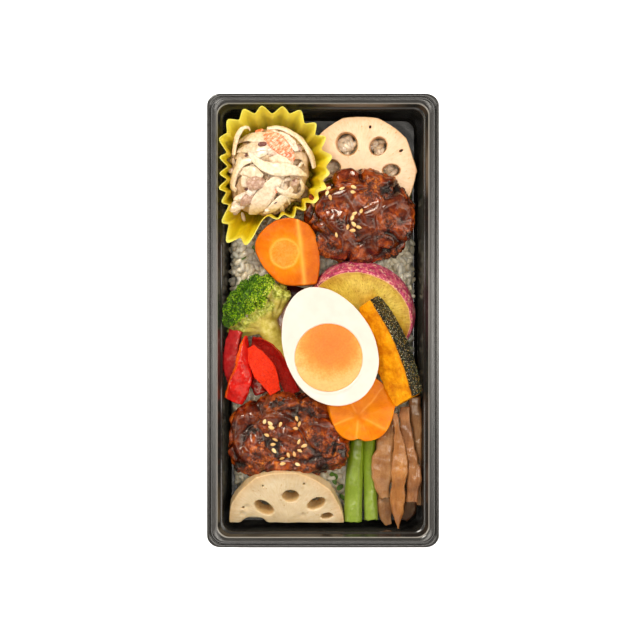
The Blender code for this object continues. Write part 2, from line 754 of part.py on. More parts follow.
def make_mushrooms():
    # (points along the strip, half width at each, depth as a share of the width)
    strips = (
        (((31.6, -47, 27), (29.7, -60, 28), (28.2, -72, 28), (29.2, -85.5, 27)), (3.2, 4.2, 4.9, 4.2), 0.75),
        (((29.0, -79, 21.8), (29.6, -88, 22.0), (31.0, -97.4, 21.8)), (3.0, 3.5, 2.6), 0.6),
        (
            ((35.0, -43, 32), (36.4, -56, 33), (36.8, -69, 33), (35.8, -83, 32), (35.0, -98.0, 30)),
            (2.4, 2.9, 3.2, 3.6, 2.0),
            0.85,
        ),
        (
            ((38.6, -41, 30), (40.2, -52, 30.5), (42.6, -63, 30.5), (43.3, -75, 30), (42.8, -86.5, 29)),
            (2.4, 2.8, 3.0, 3.2, 3.2),
            0.9,
        ),
        (
            ((42.6, -37, 26), (44.2, -49, 26), (44.8, -62, 26), (44.9, -75, 25.5), (44.6, -88, 25)),
            (2.2, 2.3, 2.3, 2.3, 2.1),
            1.2,
        ),
        (((41.8, -80, 22.3), (41.0, -88, 22.3), (38.2, -96.4, 22.3)), (3.2, 3.2, 2.4), 0.7),
    )
    return [
        add_strip(f"mushroom_strip_{number}", points, widths, flat, "mushroom_brown")
        for number, (points, widths, flat) in enumerate(strips, 1)
    ]


def make_eggplant():
    return add_lump(
        "eggplant_piece", (9.6, 20.0, 3.6), "eggplant_brown", (-18.0, -3.0, 23.4), (0, 0, -20), 1.5, (0.6, 7.0), 14, 5
    )


def main():
    clear_scene()
    make_tray()
    make_cup()
    make_salad()
    cavity = make_cavity()
    cup_envelope = make_cup_envelope()
    white, yolk, whole_egg = make_egg()
    patty_upper, patty_lower = make_patties()
    # from the pieces that lie on top down to the rice: each is cut clear of those above it
    pieces = [make_pumpkin(), make_carrot_chunk(), make_sweet_potato(), patty_upper, make_carrot_flower()]
    pieces += [make_broccoli(), *make_peppers(), make_lower_lotus(), patty_lower, *make_beans()]
    pieces += [*make_mushrooms(), make_eggplant(), make_upper_lotus(), make_rice()]
    above = [clearance(whole_egg)]
    for piece in pieces:
        swollen = clearance(piece)
        cut(piece, cavity, "INTERSECT")
        if boxes_meet(piece, cup_envelope):
            cut(piece, cup_envelope)
        for cutter in above:
            if boxes_meet(piece, cutter):
                cut(piece, cutter)
        above.append(swollen)


PARTS = new_collection("bento_box_meal")
CUTTERS = new_collection("cutters")
main()
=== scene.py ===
"""Looks of the bento box meal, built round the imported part.

Sizes are in millimetres and angles in degrees where a name or a table gives them.
MM turns millimetres into metres.
+X is across the tray, +Y along it and +Z up.
"""

import math
import random

import bpy
import numpy as np
from mathutils import Matrix, Vector, noise
from mathutils.bvhtree import BVHTree


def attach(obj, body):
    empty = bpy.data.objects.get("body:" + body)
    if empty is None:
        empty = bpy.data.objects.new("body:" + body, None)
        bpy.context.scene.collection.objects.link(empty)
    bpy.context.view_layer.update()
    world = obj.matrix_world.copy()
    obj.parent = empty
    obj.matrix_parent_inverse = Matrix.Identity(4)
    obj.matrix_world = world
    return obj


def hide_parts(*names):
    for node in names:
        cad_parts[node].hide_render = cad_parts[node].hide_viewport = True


MM = 0.001
CUT = 0.001 * MM
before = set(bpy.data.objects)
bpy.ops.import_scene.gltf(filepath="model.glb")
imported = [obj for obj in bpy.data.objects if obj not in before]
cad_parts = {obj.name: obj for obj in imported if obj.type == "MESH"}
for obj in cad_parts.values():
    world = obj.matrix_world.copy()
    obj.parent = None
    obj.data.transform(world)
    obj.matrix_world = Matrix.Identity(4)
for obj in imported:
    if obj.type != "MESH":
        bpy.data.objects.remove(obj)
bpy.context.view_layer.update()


# Tools of the bench


def tone(red, green, blue):
    """A colour from its 0 to 255 display values."""
    linear = []
    for value in (red, green, blue):
        value /= 255
        linear.append(value / 12.92 if value <= 0.04045 else ((value + 0.055) / 1.055) ** 2.4)
    return (*linear, 1.0)


def alone(piece):
    """Selects this piece and nothing else."""
    if bpy.context.mode != "OBJECT":
        bpy.ops.object.mode_set(mode="OBJECT")
    bpy.ops.object.select_all(action="DESELECT")
    piece.select_set(True)
    bpy.context.view_layer.objects.active = piece


def work_on(piece, elements="FACE"):
    """Opens the piece in edit mode with all of it selected."""
    alone(piece)
    bpy.ops.object.mode_set(mode="EDIT")
    bpy.ops.mesh.select_mode(type=elements)
    bpy.ops.mesh.select_all(action="SELECT")


def put_down():
    bpy.ops.object.mode_set(mode="OBJECT")


def face_out():
    """Turns the faces of the piece in edit mode outwards, and closes it."""
    bpy.ops.mesh.select_all(action="SELECT")
    bpy.ops.mesh.normals_make_consistent(inside=False)
    put_down()


def placed(name, data):
    """A new object of the data, in the scene."""
    piece = bpy.data.objects.new(name, data)
    bpy.context.scene.collection.objects.link(piece)
    return piece


def fresh(name):
    """The primitive just added, under its own name."""
    piece = bpy.context.object
    piece.name = name
    piece.data.name = name
    return piece


def use(piece, kind, **settings):
    """Adds a modifier and applies it."""
    alone(piece)
    modifier = piece.modifiers.new(kind.lower(), kind)
    for setting, value in settings.items():
        setattr(modifier, setting, value)
    bpy.ops.object.modifier_apply(modifier=modifier.name)


def settle(piece, place=(0, 0, 0), turn=(0, 0, 0)):
    """Puts the piece at its place and turn, and keeps both in its mesh."""
    alone(piece)
    piece.location = Vector(place) * MM
    piece.rotation_euler = [math.radians(angle) for angle in turn]
    bpy.ops.object.transform_apply(location=True, rotation=True, scale=True)


def cut_off(piece, place, way):
    """Cuts the piece flat at the place, takes off what lies that way and fills the cut."""
    work_on(piece)
    cut = {"use_fill": True, "clear_outer": True, "threshold": CUT}
    bpy.ops.mesh.bisect(plane_co=Vector(place) * MM, plane_no=way, **cut)
    put_down()


def melt(piece, grain, smoothing=0):
    """Gives the piece an even skin of small faces, grain millimetres across, and eases its edges."""
    use(piece, "REMESH", mode="VOXEL", voxel_size=grain * MM)
    if smoothing:
        use(piece, "SMOOTH", factor=0.5, iterations=smoothing)


def shape(piece, form):
    """Moves each point: form(point, normal) gives its new place in millimetres."""
    points = piece.data.vertices
    normals = [vertex.normal.copy() for vertex in points]
    for vertex, normal in zip(points, normals):
        vertex.co = form(vertex.co / MM, normal) * MM
    piece.data.update()


def mark(piece, **attributes):
    """Gives each point its values, under the names that the finishes read."""
    for name, values in attributes.items():
        piece.data.attributes.new(name, "FLOAT", "POINT").data.foreach_set("value", values)


def bumps(point, size, seed=0.0):
    """Smooth unevenness from -1 to 1, with bumps about size apart."""
    return noise.noise(point / size + Vector((seed, 2.7 * seed, 5.1 * seed)))


def lumps(point, size, seed=0.0):
    """Distances from the nearest and next nearest middles of packed lumps about size apart."""
    found = noise.voronoi(point / size + Vector((seed, 2.7 * seed, 5.1 * seed)))[0]
    return found[0], found[1]


def ease(low, high, value):
    """0 below low, 1 above high and smooth between."""
    share = min(1.0, max(0.0, (value - low) / (high - low)))
    return share * share * (3 - 2 * share)


def hand_over(piece, finish, slot, *nodes, angle=40):
    """Finishes a piece: its shading, its material, its body and the nodes it stands for. The slot is not
    used.
    """
    alone(piece)
    bpy.ops.object.shade_smooth_by_angle(angle=math.radians(angle))
    piece.data.materials.clear()
    piece.data.materials.append(finish.material)
    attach(piece, "root")
    if nodes:
        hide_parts(*nodes)
    PIECES[piece.name] = piece
    return piece


def skin_of(*names):
    """A tree for finding where a line meets the named pieces."""
    points, faces = [], []
    for name in names:
        mesh = PIECES[name].data
        start = len(points)
        points.extend(vertex.co.copy() for vertex in mesh.vertices)
        faces.extend([start + i for i in face.vertices] for face in mesh.polygons)
    return BVHTree.FromPolygons(points, faces)


def pillow(name, half, square, taper=0.0, segments=64, rings=40):
    """A ball stretched to its half sizes and squared, narrower towards its back."""
    bpy.ops.mesh.primitive_uv_sphere_add(segments=segments, ring_count=rings, radius=1)
    piece = fresh(name)

    def squared(point, normal):
        direction = (point * MM).normalized()
        reach = sum(abs(part) ** square for part in direction) ** (-1 / square)
        grown = Vector(part * reach * size for part, size in zip(direction, half))
        grown.x *= 1 - taper * grown.y / half[1]
        return grown

    shape(piece, squared)
    return piece


def scatter(name, pattern, places, seed=1):
    """One piece with a copy of the pattern at each place, given as a matrix. Each copy has its own tint."""
    draw = random.Random(seed)
    corners = np.array([(*vertex.co, 1.0) for vertex in pattern.data.vertices])
    rises = (corners[:, 2] - corners[:, 2].min()) / np.ptp(corners[:, 2])
    rings = [tuple(face.vertices) for face in pattern.data.polygons]
    points, faces, tints = [], [], []
    for place in places:
        start = len(points)
        points.extend((corners @ np.array(place).T)[:, :3].tolist())
        faces.extend(tuple(start + i for i in ring) for ring in rings)
        tints.extend([draw.random()] * len(corners))
    mesh = bpy.data.meshes.new(name)
    mesh.from_pydata(points, [], faces)
    mesh.update()
    bpy.data.objects.remove(pattern)
    piece = placed(name, mesh)
    mark(piece, tint=tints, rise=np.tile(rises, len(places)))
    return piece


def lying(point, up, spin, size=1.0, lean=0.0):
    """A matrix that lays a pattern on its place: its Z along up, spun about it and scaled."""
    stand = Vector(up).to_track_quat("Z", "Y").to_matrix().to_4x4()
    own = Matrix.Rotation(spin, 4, "Z") @ Matrix.Rotation(lean, 4, "Y")
    return Matrix.Translation(point) @ stand @ own @ Matrix.Scale(size, 4)


class Finish:
    """A surface finish: a Principled shader and the pattern nodes that feed it.

    Its coat is a weight, a roughness and a refraction, as far as they are given.
    Inside is how much light goes in, how red, green and blue share it, and how many millimetres it reaches.
    """

    def __init__(self, name, roughness, shine=0.5, tint=(1, 1, 1, 1), coat=(), inside=None):
        self.material = bpy.data.materials.new(name)
        self.material.use_nodes = True
        self.nodes = self.material.node_tree.nodes
        self.links = self.material.node_tree.links
        self.shader = self.nodes["Principled BSDF"]
        sockets = {"Roughness": roughness, "Specular IOR Level": shine, "Specular Tint": tint}
        sockets.update(zip(("Coat Weight", "Coat Roughness", "Coat IOR"), coat))
        if inside:
            weight, shares, reach = inside
            sockets.update(zip(("Subsurface Weight", "Subsurface Radius"), (weight, shares)))
            sockets["Subsurface Scale"] = reach * MM
        for socket, value in sockets.items():
            self.shader.inputs[socket].default_value = value
        self.where = self.nodes.new("ShaderNodeTexCoord").outputs["Object"]
        self.relief = None

    def add(self, kind, inputs, **settings):
        node = self.nodes.new("ShaderNode" + kind)
        for setting, value in settings.items():
            setattr(node, setting, value)
        for socket, value in inputs.items():
            self.feed(node.inputs[socket], value)
        return node

    def feed(self, socket, value):
        if isinstance(value, bpy.types.NodeSocket):
            self.links.new(value, socket)
        else:
            socket.default_value = value

    def noise(self, size, detail=3.0, rough=0.5, twist=0.0, at=None):
        """Cloudy pattern from 0 to 1 with patches about size millimetres across."""
        inputs = {"Vector": at or self.where, "Scale": 1 / (size * MM), "Detail": detail, "Roughness": rough}
        return self.add("TexNoise", {**inputs, "Distortion": twist}).outputs[0]

    def cells(self, size, spread, at):
        """Distance from the nearest of scattered spots, about size millimetres apart."""
        inputs = {"Vector": at, "Scale": 1 / (size * MM), "Randomness": spread}
        return self.add("TexVoronoi", inputs).outputs["Distance"]

    def turned(self, place=(0, 0, 0), turn=(0, 0, 0), stretch=(1, 1, 1)):
        """The piece's own lengths: from its place, along its turned axes, each drawn out by stretch."""
        inputs = {
            "Vector": self.where,
            "Location": Vector(place) * MM,
            "Rotation": [math.radians(angle) for angle in turn],
            "Scale": stretch,
        }
        return self.add("Mapping", inputs, vector_type="TEXTURE").outputs[0]

    def ramp(self, factor, *stops):
        """Tones of red, green and blue, or greys, at their positions, with even steps between."""
        node = self.add("ValToRGB", {"Fac": factor})
        ramp = node.color_ramp
        while len(ramp.elements) < len(stops):
            ramp.elements.new(0.5)
        for element, (position, *parts) in zip(ramp.elements, stops):
            element.position = position
            element.color = tone(*parts) if len(parts) == 3 else (*parts * 3, 1)
        return node.outputs[0]

    def mix(self, factor, first, second, most=1.0, how="MIX"):
        """The second colour over the first, at most that much of it where the factor is 1."""
        if most != 1.0:
            factor = self.maths("MULTIPLY", factor, most)
        node = self.add("Mix", {0: factor, 6: first, 7: second}, data_type="RGBA", blend_type=how)
        return node.outputs[2]

    def span(self, value, start, end, top=1.0):
        """0 where the value is at start, and top where it is at end."""
        return self.add("MapRange", {0: value, 1: start, 2: end, 4: top}).outputs[0]

    def maths(self, operation, *values):
        return self.add("Math", dict(enumerate(values)), operation=operation).outputs[0]

    def from_point(self, at, point):
        return self.add("VectorMath", {0: at, 1: point}, operation="SUBTRACT").outputs[0]

    def along(self, at, way):
        return self.add("VectorMath", {0: at, 1: way}, operation="DOT_PRODUCT").outputs["Value"]

    def length(self, at):
        return self.add("VectorMath", {0: at}, operation="LENGTH").outputs["Value"]

    def swing(self, pattern, width):
        """The pattern as an amount either way, width apart from one end to the other."""
        return self.maths("MULTIPLY", self.maths("SUBTRACT", pattern, 0.5), width)

    def across(self, here):
        """Distance from the piece's own upright axis."""
        return self.length(self.add("VectorMath", {0: here, 1: (1, 1, 0)}, operation="MULTIPLY").outputs[0])

    def rays(self, here, out, about, along):
        """Places for a pattern drawn out along rays from the axis."""
        x, y, _ = self.parts_of(here)
        turned = self.maths("MULTIPLY", self.maths("ARCTAN2", y, x), about)
        return self.add("CombineXYZ", {0: turned, 1: self.maths("MULTIPLY", out, along)}).outputs[0]

    def parts_of(self, at):
        return self.add("SeparateXYZ", {0: at}).outputs

    def attribute(self, name):
        return self.add("Attribute", {}, attribute_name=name).outputs["Fac"]

    def colour(self, value):
        self.feed(self.shader.inputs["Base Color"], value)

    def rough(self, value):
        self.feed(self.shader.inputs["Roughness"], value)

    def times(self, first, second):
        return self.mix(1.0, first, second, how="MULTIPLY")

    def bump(self, height, depth, strength=1.0):
        """Relief of the height pattern, depth millimetres deep, over what is there already."""
        inputs = {"Height": height, "Distance": depth * MM, "Strength": strength}
        if self.relief:
            inputs["Normal"] = self.relief
        self.relief = self.add("Bump", inputs).outputs[0]
        self.feed(self.shader.inputs["Normal"], self.relief)

    def coat_follows(self):
        """Lays the coat over the relief."""
        self.feed(self.shader.inputs["Coat Normal"], self.relief)


PIECES = {}
# moist food throws back light in its own warm colour, under a clear coat
AMBER = (1.0, 0.72, 0.35, 1.0)
LEMON = (1.0, 0.88, 0.3, 1.0)

# Tray

TRAY_WIDTH, TRAY_LENGTH, TRAY_CORNER = 110.0, 215.0, 6.5
# (inset from the outer edge, height): up the outside, over the rim and down the inside to the floor
TRAY_INSIDE = ((5.1, 37.1), (6.4, 33.6), (7.4, 33.0), (9.8, 2.2), (10.9, 0.8))
TRAY_SECTION = (
    (10.2, 0.0), (9.0, 1.8), (6.6, 32.2), (5.6, 33.0), (4.5, 36.7), (3.3, 37.0), (1.8, 33.4), (0.2, 33.2),
    (0.0, 33.5), (0.0, 34.2), (0.3, 34.6), (1.2, 34.6), (1.9, 34.3), (2.3, 37.4), (2.7, 38.0), (4.4, 37.7),
    *TRAY_INSIDE,
)


def eased_section(section, reach=0.45, steps=3):
    """The section with each corner rounded off."""
    points = [section[0]]
    for before, corner, after in zip(section, section[1:], section[2:]):
        corner = Vector(corner)
        back, on = Vector(before) - corner, Vector(after) - corner
        start = corner + back.normalized() * min(reach, 0.4 * back.length)
        end = corner + on.normalized() * min(reach, 0.4 * on.length)
        for step in range(steps + 1):
            t = step / steps
            points.append(tuple(start * (1 - t) ** 2 + corner * 2 * t * (1 - t) + end * t * t))
    points.append(section[-1])
    return points


def tray_plastic():
    finish = Finish("tray_plastic", 0.16, 0.65)
    cloud = finish.noise(14, 3, 0.6)
    plain = finish.ramp(cloud, (0.3, 29, 28, 26), (0.7, 37, 35, 32))
    # painted highlight: the thin inner edge of the rim is drawn paler, in place of the bright line of light
    # along it
    finish.colour(finish.mix(finish.attribute("edge"), plain, tone(150, 147, 141), 0.85))
    finish.rough(finish.ramp(cloud, (0.3, 0.19), (0.7, 0.22)))
    x, y, z = finish.parts_of(finish.where)
    # shallow upright ribs inside the walls, fading out above the food
    level = finish.add("CombineXYZ", {0: x, 1: y}).outputs[0]
    ribs = finish.add(
        "TexWave", {"Vector": level, "Scale": 95.0, "Distortion": 0.0}, bands_direction="DIAGONAL"
    )
    low = finish.maths("MULTIPLY", ribs.outputs["Fac"], finish.maths("LESS_THAN", z, 0.0325))
    finish.bump(low, 0.05, 0.5)
    finish.bump(finish.noise(0.35, 2, 0.6), 0.02, 0.15)
    return finish


def make_tray():
    section = eased_section(TRAY_SECTION)
    bpy.ops.mesh.primitive_plane_add(size=1)
    tray = fresh("tray_black")
    inset, height = section[0]
    across, along = TRAY_WIDTH - 2 * inset, TRAY_LENGTH - 2 * inset
    tray.scale = (across * MM, along * MM, 1)
    settle(tray)
    work_on(tray)
    bpy.ops.mesh.bevel(offset=TRAY_CORNER * 0.8 * MM, segments=9, affect="VERTICES")
    for next_inset, next_height in section[1:]:
        rise = (next_height - height) * MM
        bpy.ops.mesh.extrude_region_move(TRANSFORM_OT_translate={"value": (0, 0, rise)})
        next_across, next_along = TRAY_WIDTH - 2 * next_inset, TRAY_LENGTH - 2 * next_inset
        grow = (next_across / across, next_along / along, 1)
        bpy.ops.transform.resize(value=grow, center_override=(0, 0, 0))
        height, across, along = next_height, next_across, next_along
    face_out()
    highlight_lines = []

    # marks the thin inner edge of the rim, where the highlight is painted
    def note_highlight_line(point, normal):
        inset = min(TRAY_WIDTH / 2 - abs(point.x), TRAY_LENGTH / 2 - abs(point.y))
        highlight_lines.append(1.0 if inset > 4.6 and abs(point.z - 37.1) < 0.35 else 0.0)
        return point

    shape(tray, note_highlight_line)
    mark(tray, edge=highlight_lines)
    return hand_over(tray, tray_plastic(), "tray_plastic", "tray")


# Pleated cup

CUP_CENTRE = (-24.0, 70.0)
CUP_FLUTES, CUP_STEPS, CUP_LEVELS = 22, 12, 16
CUP_BASE_RADIUS, CUP_BASE, CUP_RIM = 19.0, 14.5, 39.5
CUP_PLEAT, CUP_WALL = 3.4, 0.22
GAP = 0.3


def wall_inset(height):
    """How far the tray's inside wall stands in from its outer edge at a height."""
    for above, below in zip(TRAY_INSIDE, TRAY_INSIDE[1:]):
        if height >= below[1]:
            share = min(1.0, (height - below[1]) / (above[1] - below[1]))
            return below[0] + (above[0] - below[0]) * share
    return TRAY_INSIDE[-1][0]


def reach_to_wall(centre, angle, height):
    """Distance from centre to the tray's side or end wall along angle."""
    inset = wall_inset(height) + GAP
    reach = math.inf
    for middle, half, part in zip(
        centre, (TRAY_WIDTH / 2, TRAY_LENGTH / 2), (math.cos(angle), math.sin(angle))
    ):
        if abs(part) > 1e-6:
            reach = min(reach, (math.copysign(half - inset, part) - middle) / part)
    return reach


def cup_flare(angle):
    """How the wall climbs that way: over 1 it steepens towards the rim, and under 1 it opens out."""
    return 1.25 - 0.7 * math.exp(-(((math.degrees(angle) + 22.0) / 48.0) ** 2))


def cup_point(angle, share, pleat):
    """A point of the cup's wall: share 0 at the base and 1 at the rim, pleat 0 at a tip and 1 in a valley."""
    height = CUP_BASE + (CUP_RIM - CUP_BASE) * share ** cup_flare(angle)
    off = (math.degrees(angle) + 116.0 + 180) % 360 - 180
    spur = math.exp(-((off / 10.0) ** 4 if off > 0 else (-off / 21.2) ** 3))
    pressed = 1.3 * ease(-1.95, -1.6, angle) * (1 - ease(-0.7, -0.1, angle))
    rim = 28.8 + 3.8 * math.cos(angle - math.radians(105)) + 14.0 * spur - pressed
    tip = CUP_BASE_RADIUS + (rim - CUP_BASE_RADIUS) * share
    tip = min(tip, reach_to_wall(CUP_CENTRE, angle, height) - 1.0)
    radius = tip - CUP_PLEAT * (0.5 + 0.5 * share + 0.6 * spur * share) * pleat
    return Vector(
        (CUP_CENTRE[0] + radius * math.cos(angle), CUP_CENTRE[1] + radius * math.sin(angle), height)
    )


def cup_film():
    finish = Finish("cup_film", 0.42, 0.4, LEMON, inside=(0.3, (1.0, 0.8, 0.1), 3.0))
    _, y, z = finish.parts_of(finish.where)
    up = finish.span(z, 0.016, 0.0385)
    valley = finish.attribute("valley")
    # painted shade: the film is drawn darker down towards the base of the cup, palest at its rim
    film = finish.ramp(
        up, (0.0, 214, 186, 14), (0.5, 232, 204, 24), (0.85, 248, 226, 52), (1.0, 255, 246, 130)
    )
    # painted shade: the film darkens in the valleys of the pleats
    shade = finish.ramp(valley, (0.05, 1.0), (0.95, 226, 208, 140))
    cloud = finish.ramp(finish.noise(3.5, 3), (0.3, 236, 234, 210), (0.7, 1.0))
    film = finish.times(finish.times(film, shade), cloud)
    # the film is paler round the back, where the light comes through it
    back = finish.span(y, 0.078, 0.096, 0.6)
    finish.colour(finish.mix(back, film, tone(255, 240, 96)))
    finish.bump(finish.noise(1.6, 3), 0.12, 0.5)
    return finish


def make_cup():
    count = CUP_FLUTES * CUP_STEPS
    bpy.ops.mesh.primitive_circle_add(vertices=count, radius=CUP_BASE_RADIUS * MM, fill_type="NGON")
    cup = fresh("pleated_cup")
    work_on(cup)
    # the disc stays behind as the cup's base, and its copy is drawn up into the wall
    bpy.ops.mesh.duplicate()
    for _ in range(CUP_LEVELS):
        bpy.ops.mesh.extrude_region_move(TRANSFORM_OT_translate={"value": (0, 0, MM)})
    bpy.ops.mesh.delete(type="ONLY_FACE")
    bpy.ops.mesh.select_all(action="SELECT")
    bpy.ops.mesh.remove_doubles(threshold=1e-5)
    put_down()
    valleys = []

    def pleated(point, normal):
        angle = math.atan2(point.y, point.x)
        share = round(point.z) / CUP_LEVELS
        here = Vector((20 * math.cos(angle), 20 * math.sin(angle), 14 * share))
        # the flutes are folded: nearly straight sides with rounded tips and valleys
        phase = (
            CUP_FLUTES * angle
            + 1.1 * share * bumps(here, 9, 2)
            + math.pi * math.exp(-(((angle + 2.0) / 0.45) ** 2))
        )
        pleat = 0.5 - 0.5 * math.asin(0.8 * math.cos(phase)) / math.asin(0.8)
        valleys.append(pleat)
        crushed = ease(-2.2, -1.2, angle) * (1 - ease(-0.2, 0.6, angle))
        crush = (0.25 + 0.65 * crushed) * bumps(here, 3.5, 3) * share
        wavy = cup_point(angle, share, min(1.15, max(-0.1, pleat + crush)))
        wavy.z += (0.5 + 1.6 * crushed) * share * bumps(Vector((here.x, here.y, 0)), 4.5, 8)
        return wavy

    shape(cup, pleated)
    mark(cup, valley=valleys)
    use(cup, "SOLIDIFY", thickness=CUP_WALL * MM, offset=0.0)
    return hand_over(cup, cup_film(), "cup_foil", "food_cup", angle=60)


# Rice

RICE_CENTRE, RICE_HALF, RICE_TOP, RICE_SQUARE = (-0.4, -1.0), (44.0, 91.0), 18.2, 7
GRAIN_LENGTH, GRAIN_WIDTH = 5.4, 2.8


def rice_finish(name, light):
    finish = Finish(name, 0.28, 0.5, coat=(0.3, 0.15), inside=(0.5, (1.0, 0.92, 0.8), 1.2))
    cloud = finish.noise(2.0, 3)
    pale = finish.ramp(cloud, (0.25, *light), (0.75, *(min(255, value + 8) for value in light)))
    if name == "rice_grain":
        own = finish.ramp(finish.attribute("tint"), (0.0, 236, 230, 216), (1.0, 1.0))
        pale = finish.times(pale, own)
    finish.colour(pale)
    finish.bump(finish.noise(0.8, 2), 0.04, 0.6)
    return finish


def rice_height(x, y):
    """Top of the core under the loose grains, with humps as large as grains."""
    across, along = abs((x - RICE_CENTRE[0]) / RICE_HALF[0]), abs((y - RICE_CENTRE[1]) / RICE_HALF[1])
    reach = (across**RICE_SQUARE + along**RICE_SQUARE) ** (1 / RICE_SQUARE)
    slope = 1 - ease(0.86, 1.0, reach)
    swell = 0.9 * bumps(Vector((x, y, 0)), 7, 8)
    return 3.0 + (RICE_TOP - 4.6) * slope**0.5 + swell, reach


def make_rice_core():
    bpy.ops.mesh.primitive_grid_add(x_subdivisions=110, y_subdivisions=230, size=1)
    core = fresh("rice_core")
    core.scale = (2 * RICE_HALF[0] * MM, 2 * RICE_HALF[1] * MM, 1)
    settle(core, (*RICE_CENTRE, 0))

    def bed(point, normal):
        height, reach = rice_height(point.x, point.y)
        # the cup stands on the rice
        from_cup = math.hypot(point.x - CUP_CENTRE[0], point.y - CUP_CENTRE[1])
        height = min(height, 13.2 + 6 * ease(19.5, 26, from_cup))
        near, _ = lumps(Vector((point.x, point.y * 0.75, 0)), 3.2, 4)
        away = Vector((point.x - RICE_CENTRE[0], point.y - RICE_CENTRE[1], 0))
        if reach > 1:
            away /= reach
        return Vector((RICE_CENTRE[0] + away.x, RICE_CENTRE[1] + away.y, height + 0.9 * (0.6 - near)))

    shape(core, bed)
    work_on(core)
    bpy.ops.mesh.select_all(action="SELECT")
    bpy.ops.mesh.region_to_loop()
    bpy.ops.mesh.extrude_edges_move(TRANSFORM_OT_translate={"value": (0, 0, -2 * MM)})
    bpy.ops.mesh.edge_face_add()
    face_out()

    def on_floor(point, normal):
        return Vector((point.x, point.y, max(point.z, 1.1)))

    shape(core, on_floor)
    return hand_over(core, rice_finish("rice_core", (238, 230, 208)), "rice", "rice_bed")


def rice_grain():
    """One cooked grain lying along X, plump and blunt."""
    bpy.ops.mesh.primitive_uv_sphere_add(segments=8, ring_count=7, radius=0.5)
    grain = fresh("rice_grain")
    settle(grain, (0, 0, 0), (0, 90, 0))

    def grown(point, normal):
        x, y, z = point * MM
        along = min(0.98, abs(2 * x))
        blunt = math.sqrt((1 - along**3) / (1 - along**2))
        bent = 0.35 * (1 - 4 * x * x)
        wide = y * blunt * GRAIN_WIDTH * (1 - 0.2 * x)
        return Vector((x * GRAIN_LENGTH, wide, z * blunt * GRAIN_WIDTH * 0.85 + bent - 0.2))

    shape(grain, grown)
    return grain


def seen_from_above(point, tree):
    """Whether light from some way above reaches the point."""
    for tilt in (0, 35, 55):
        for turn in range(0, 360, 60) if tilt else (0,):
            down, round_ = math.radians(tilt), math.radians(turn)
            ray = Vector(
                (math.sin(down) * math.cos(round_), math.sin(down) * math.sin(round_), math.cos(down))
            )
            if tree.ray_cast(point + ray * 0.4 * MM, ray)[0] is None:
                return True
    return False


def make_rice_grains():
    """Loose grains over the core, where they can be seen past the food."""
    draw = random.Random(11)
    tree = skin_of(*(name for name in PIECES if name not in ("rice_core", "pleated_cup")))
    cup = skin_of("pleated_cup")
    places = []
    spacing = 2.75
    rows = int(2 * RICE_HALF[1] / spacing)
    columns = int(2 * RICE_HALF[0] / spacing)
    for layer in range(2):
        for row in range(rows):
            for column in range(columns):
                x = RICE_CENTRE[0] - RICE_HALF[0] + (column + draw.random() * 1.1) * spacing
                y = RICE_CENTRE[1] - RICE_HALF[1] + (row + draw.random() * 1.1) * spacing
                spin, lean = draw.uniform(0, math.tau), draw.gauss(0, 0.16)
                size, lift = draw.uniform(0.88, 1.08), draw.uniform(-0.3, 0.5)
                height, reach = rice_height(x, y)
                if reach > 0.985:
                    continue
                point = Vector((x, y, height + 0.9 + 1.1 * layer + lift)) * MM
                if cup.ray_cast(point, Vector((0, 0, -1)))[0] or cup.find_nearest(point)[3] < 2.8 * MM:
                    continue
                if not seen_from_above(point, tree):
                    continue
                if layer and bumps(Vector((x, y, 5)), 5, 2) < -0.15:
                    continue
                tip = Vector((draw.gauss(0, 0.1), draw.gauss(0, 0.1), 1))
                places.append(lying(point, tip, spin, size, lean))
    # rice pressed up into the holes of the lotus slice
    for angle, long, wide in LOTUS_HOLES[:4]:
        middle = Vector(LOTUS_PLACE) + Vector((*around(LOTUS_RING, angle), 0))
        for _ in range(int(long * wide * 1.1)):
            way, out = draw.uniform(0, math.tau), (0.8 * min(long, wide) - 0.6) * math.sqrt(draw.random())
            low = -7.4 - 0.3 * out + draw.uniform(-1.2, 0.8)
            point = middle + Vector((out * math.cos(way), out * math.sin(way), low))
            tip = Vector((draw.gauss(0, 0.2), draw.gauss(0, 0.2), 1))
            places.append(lying(point * MM, tip, draw.uniform(0, math.tau), draw.uniform(0.8, 1)))
    grains = scatter("rice_grains", rice_grain(), places, 5)
    return hand_over(grains, rice_finish("rice_grain", (250, 238, 216)), "rice", angle=80)


# Egg

EGG_HALF, EGG_CENTRE, EGG_TILT = (21.4, 29.2, 21.0), (2.6, -11.9, 45.0), (-2, 4, 24)
YOLK_RADIUS, YOLK_MIDDLE = 16.1, (-2.2, -5.1, 0.0)


def egg_white_finish():
    finish = Finish("egg_white", 0.32, 0.4, coat=(0.12,), inside=(0.4, (1.0, 0.9, 0.75), 1.8))
    here = finish.turned(EGG_CENTRE, EGG_TILT)
    cloud = finish.ramp(finish.noise(7, 3), (0.3, 213, 200, 189), (0.7, 221, 209, 199))
    from_yolk = finish.length(finish.from_point(here, Vector(YOLK_MIDDLE) * MM))
    ring = finish.span(from_yolk, 0.0176, 0.0164)
    finish.colour(finish.mix(ring, cloud, tone(232, 210, 176), 0.12))
    finish.bump(finish.noise(1.2, 3), 0.04, 0.4)
    finish.bump(finish.noise(7, 2), 0.25, 0.25)
    return finish


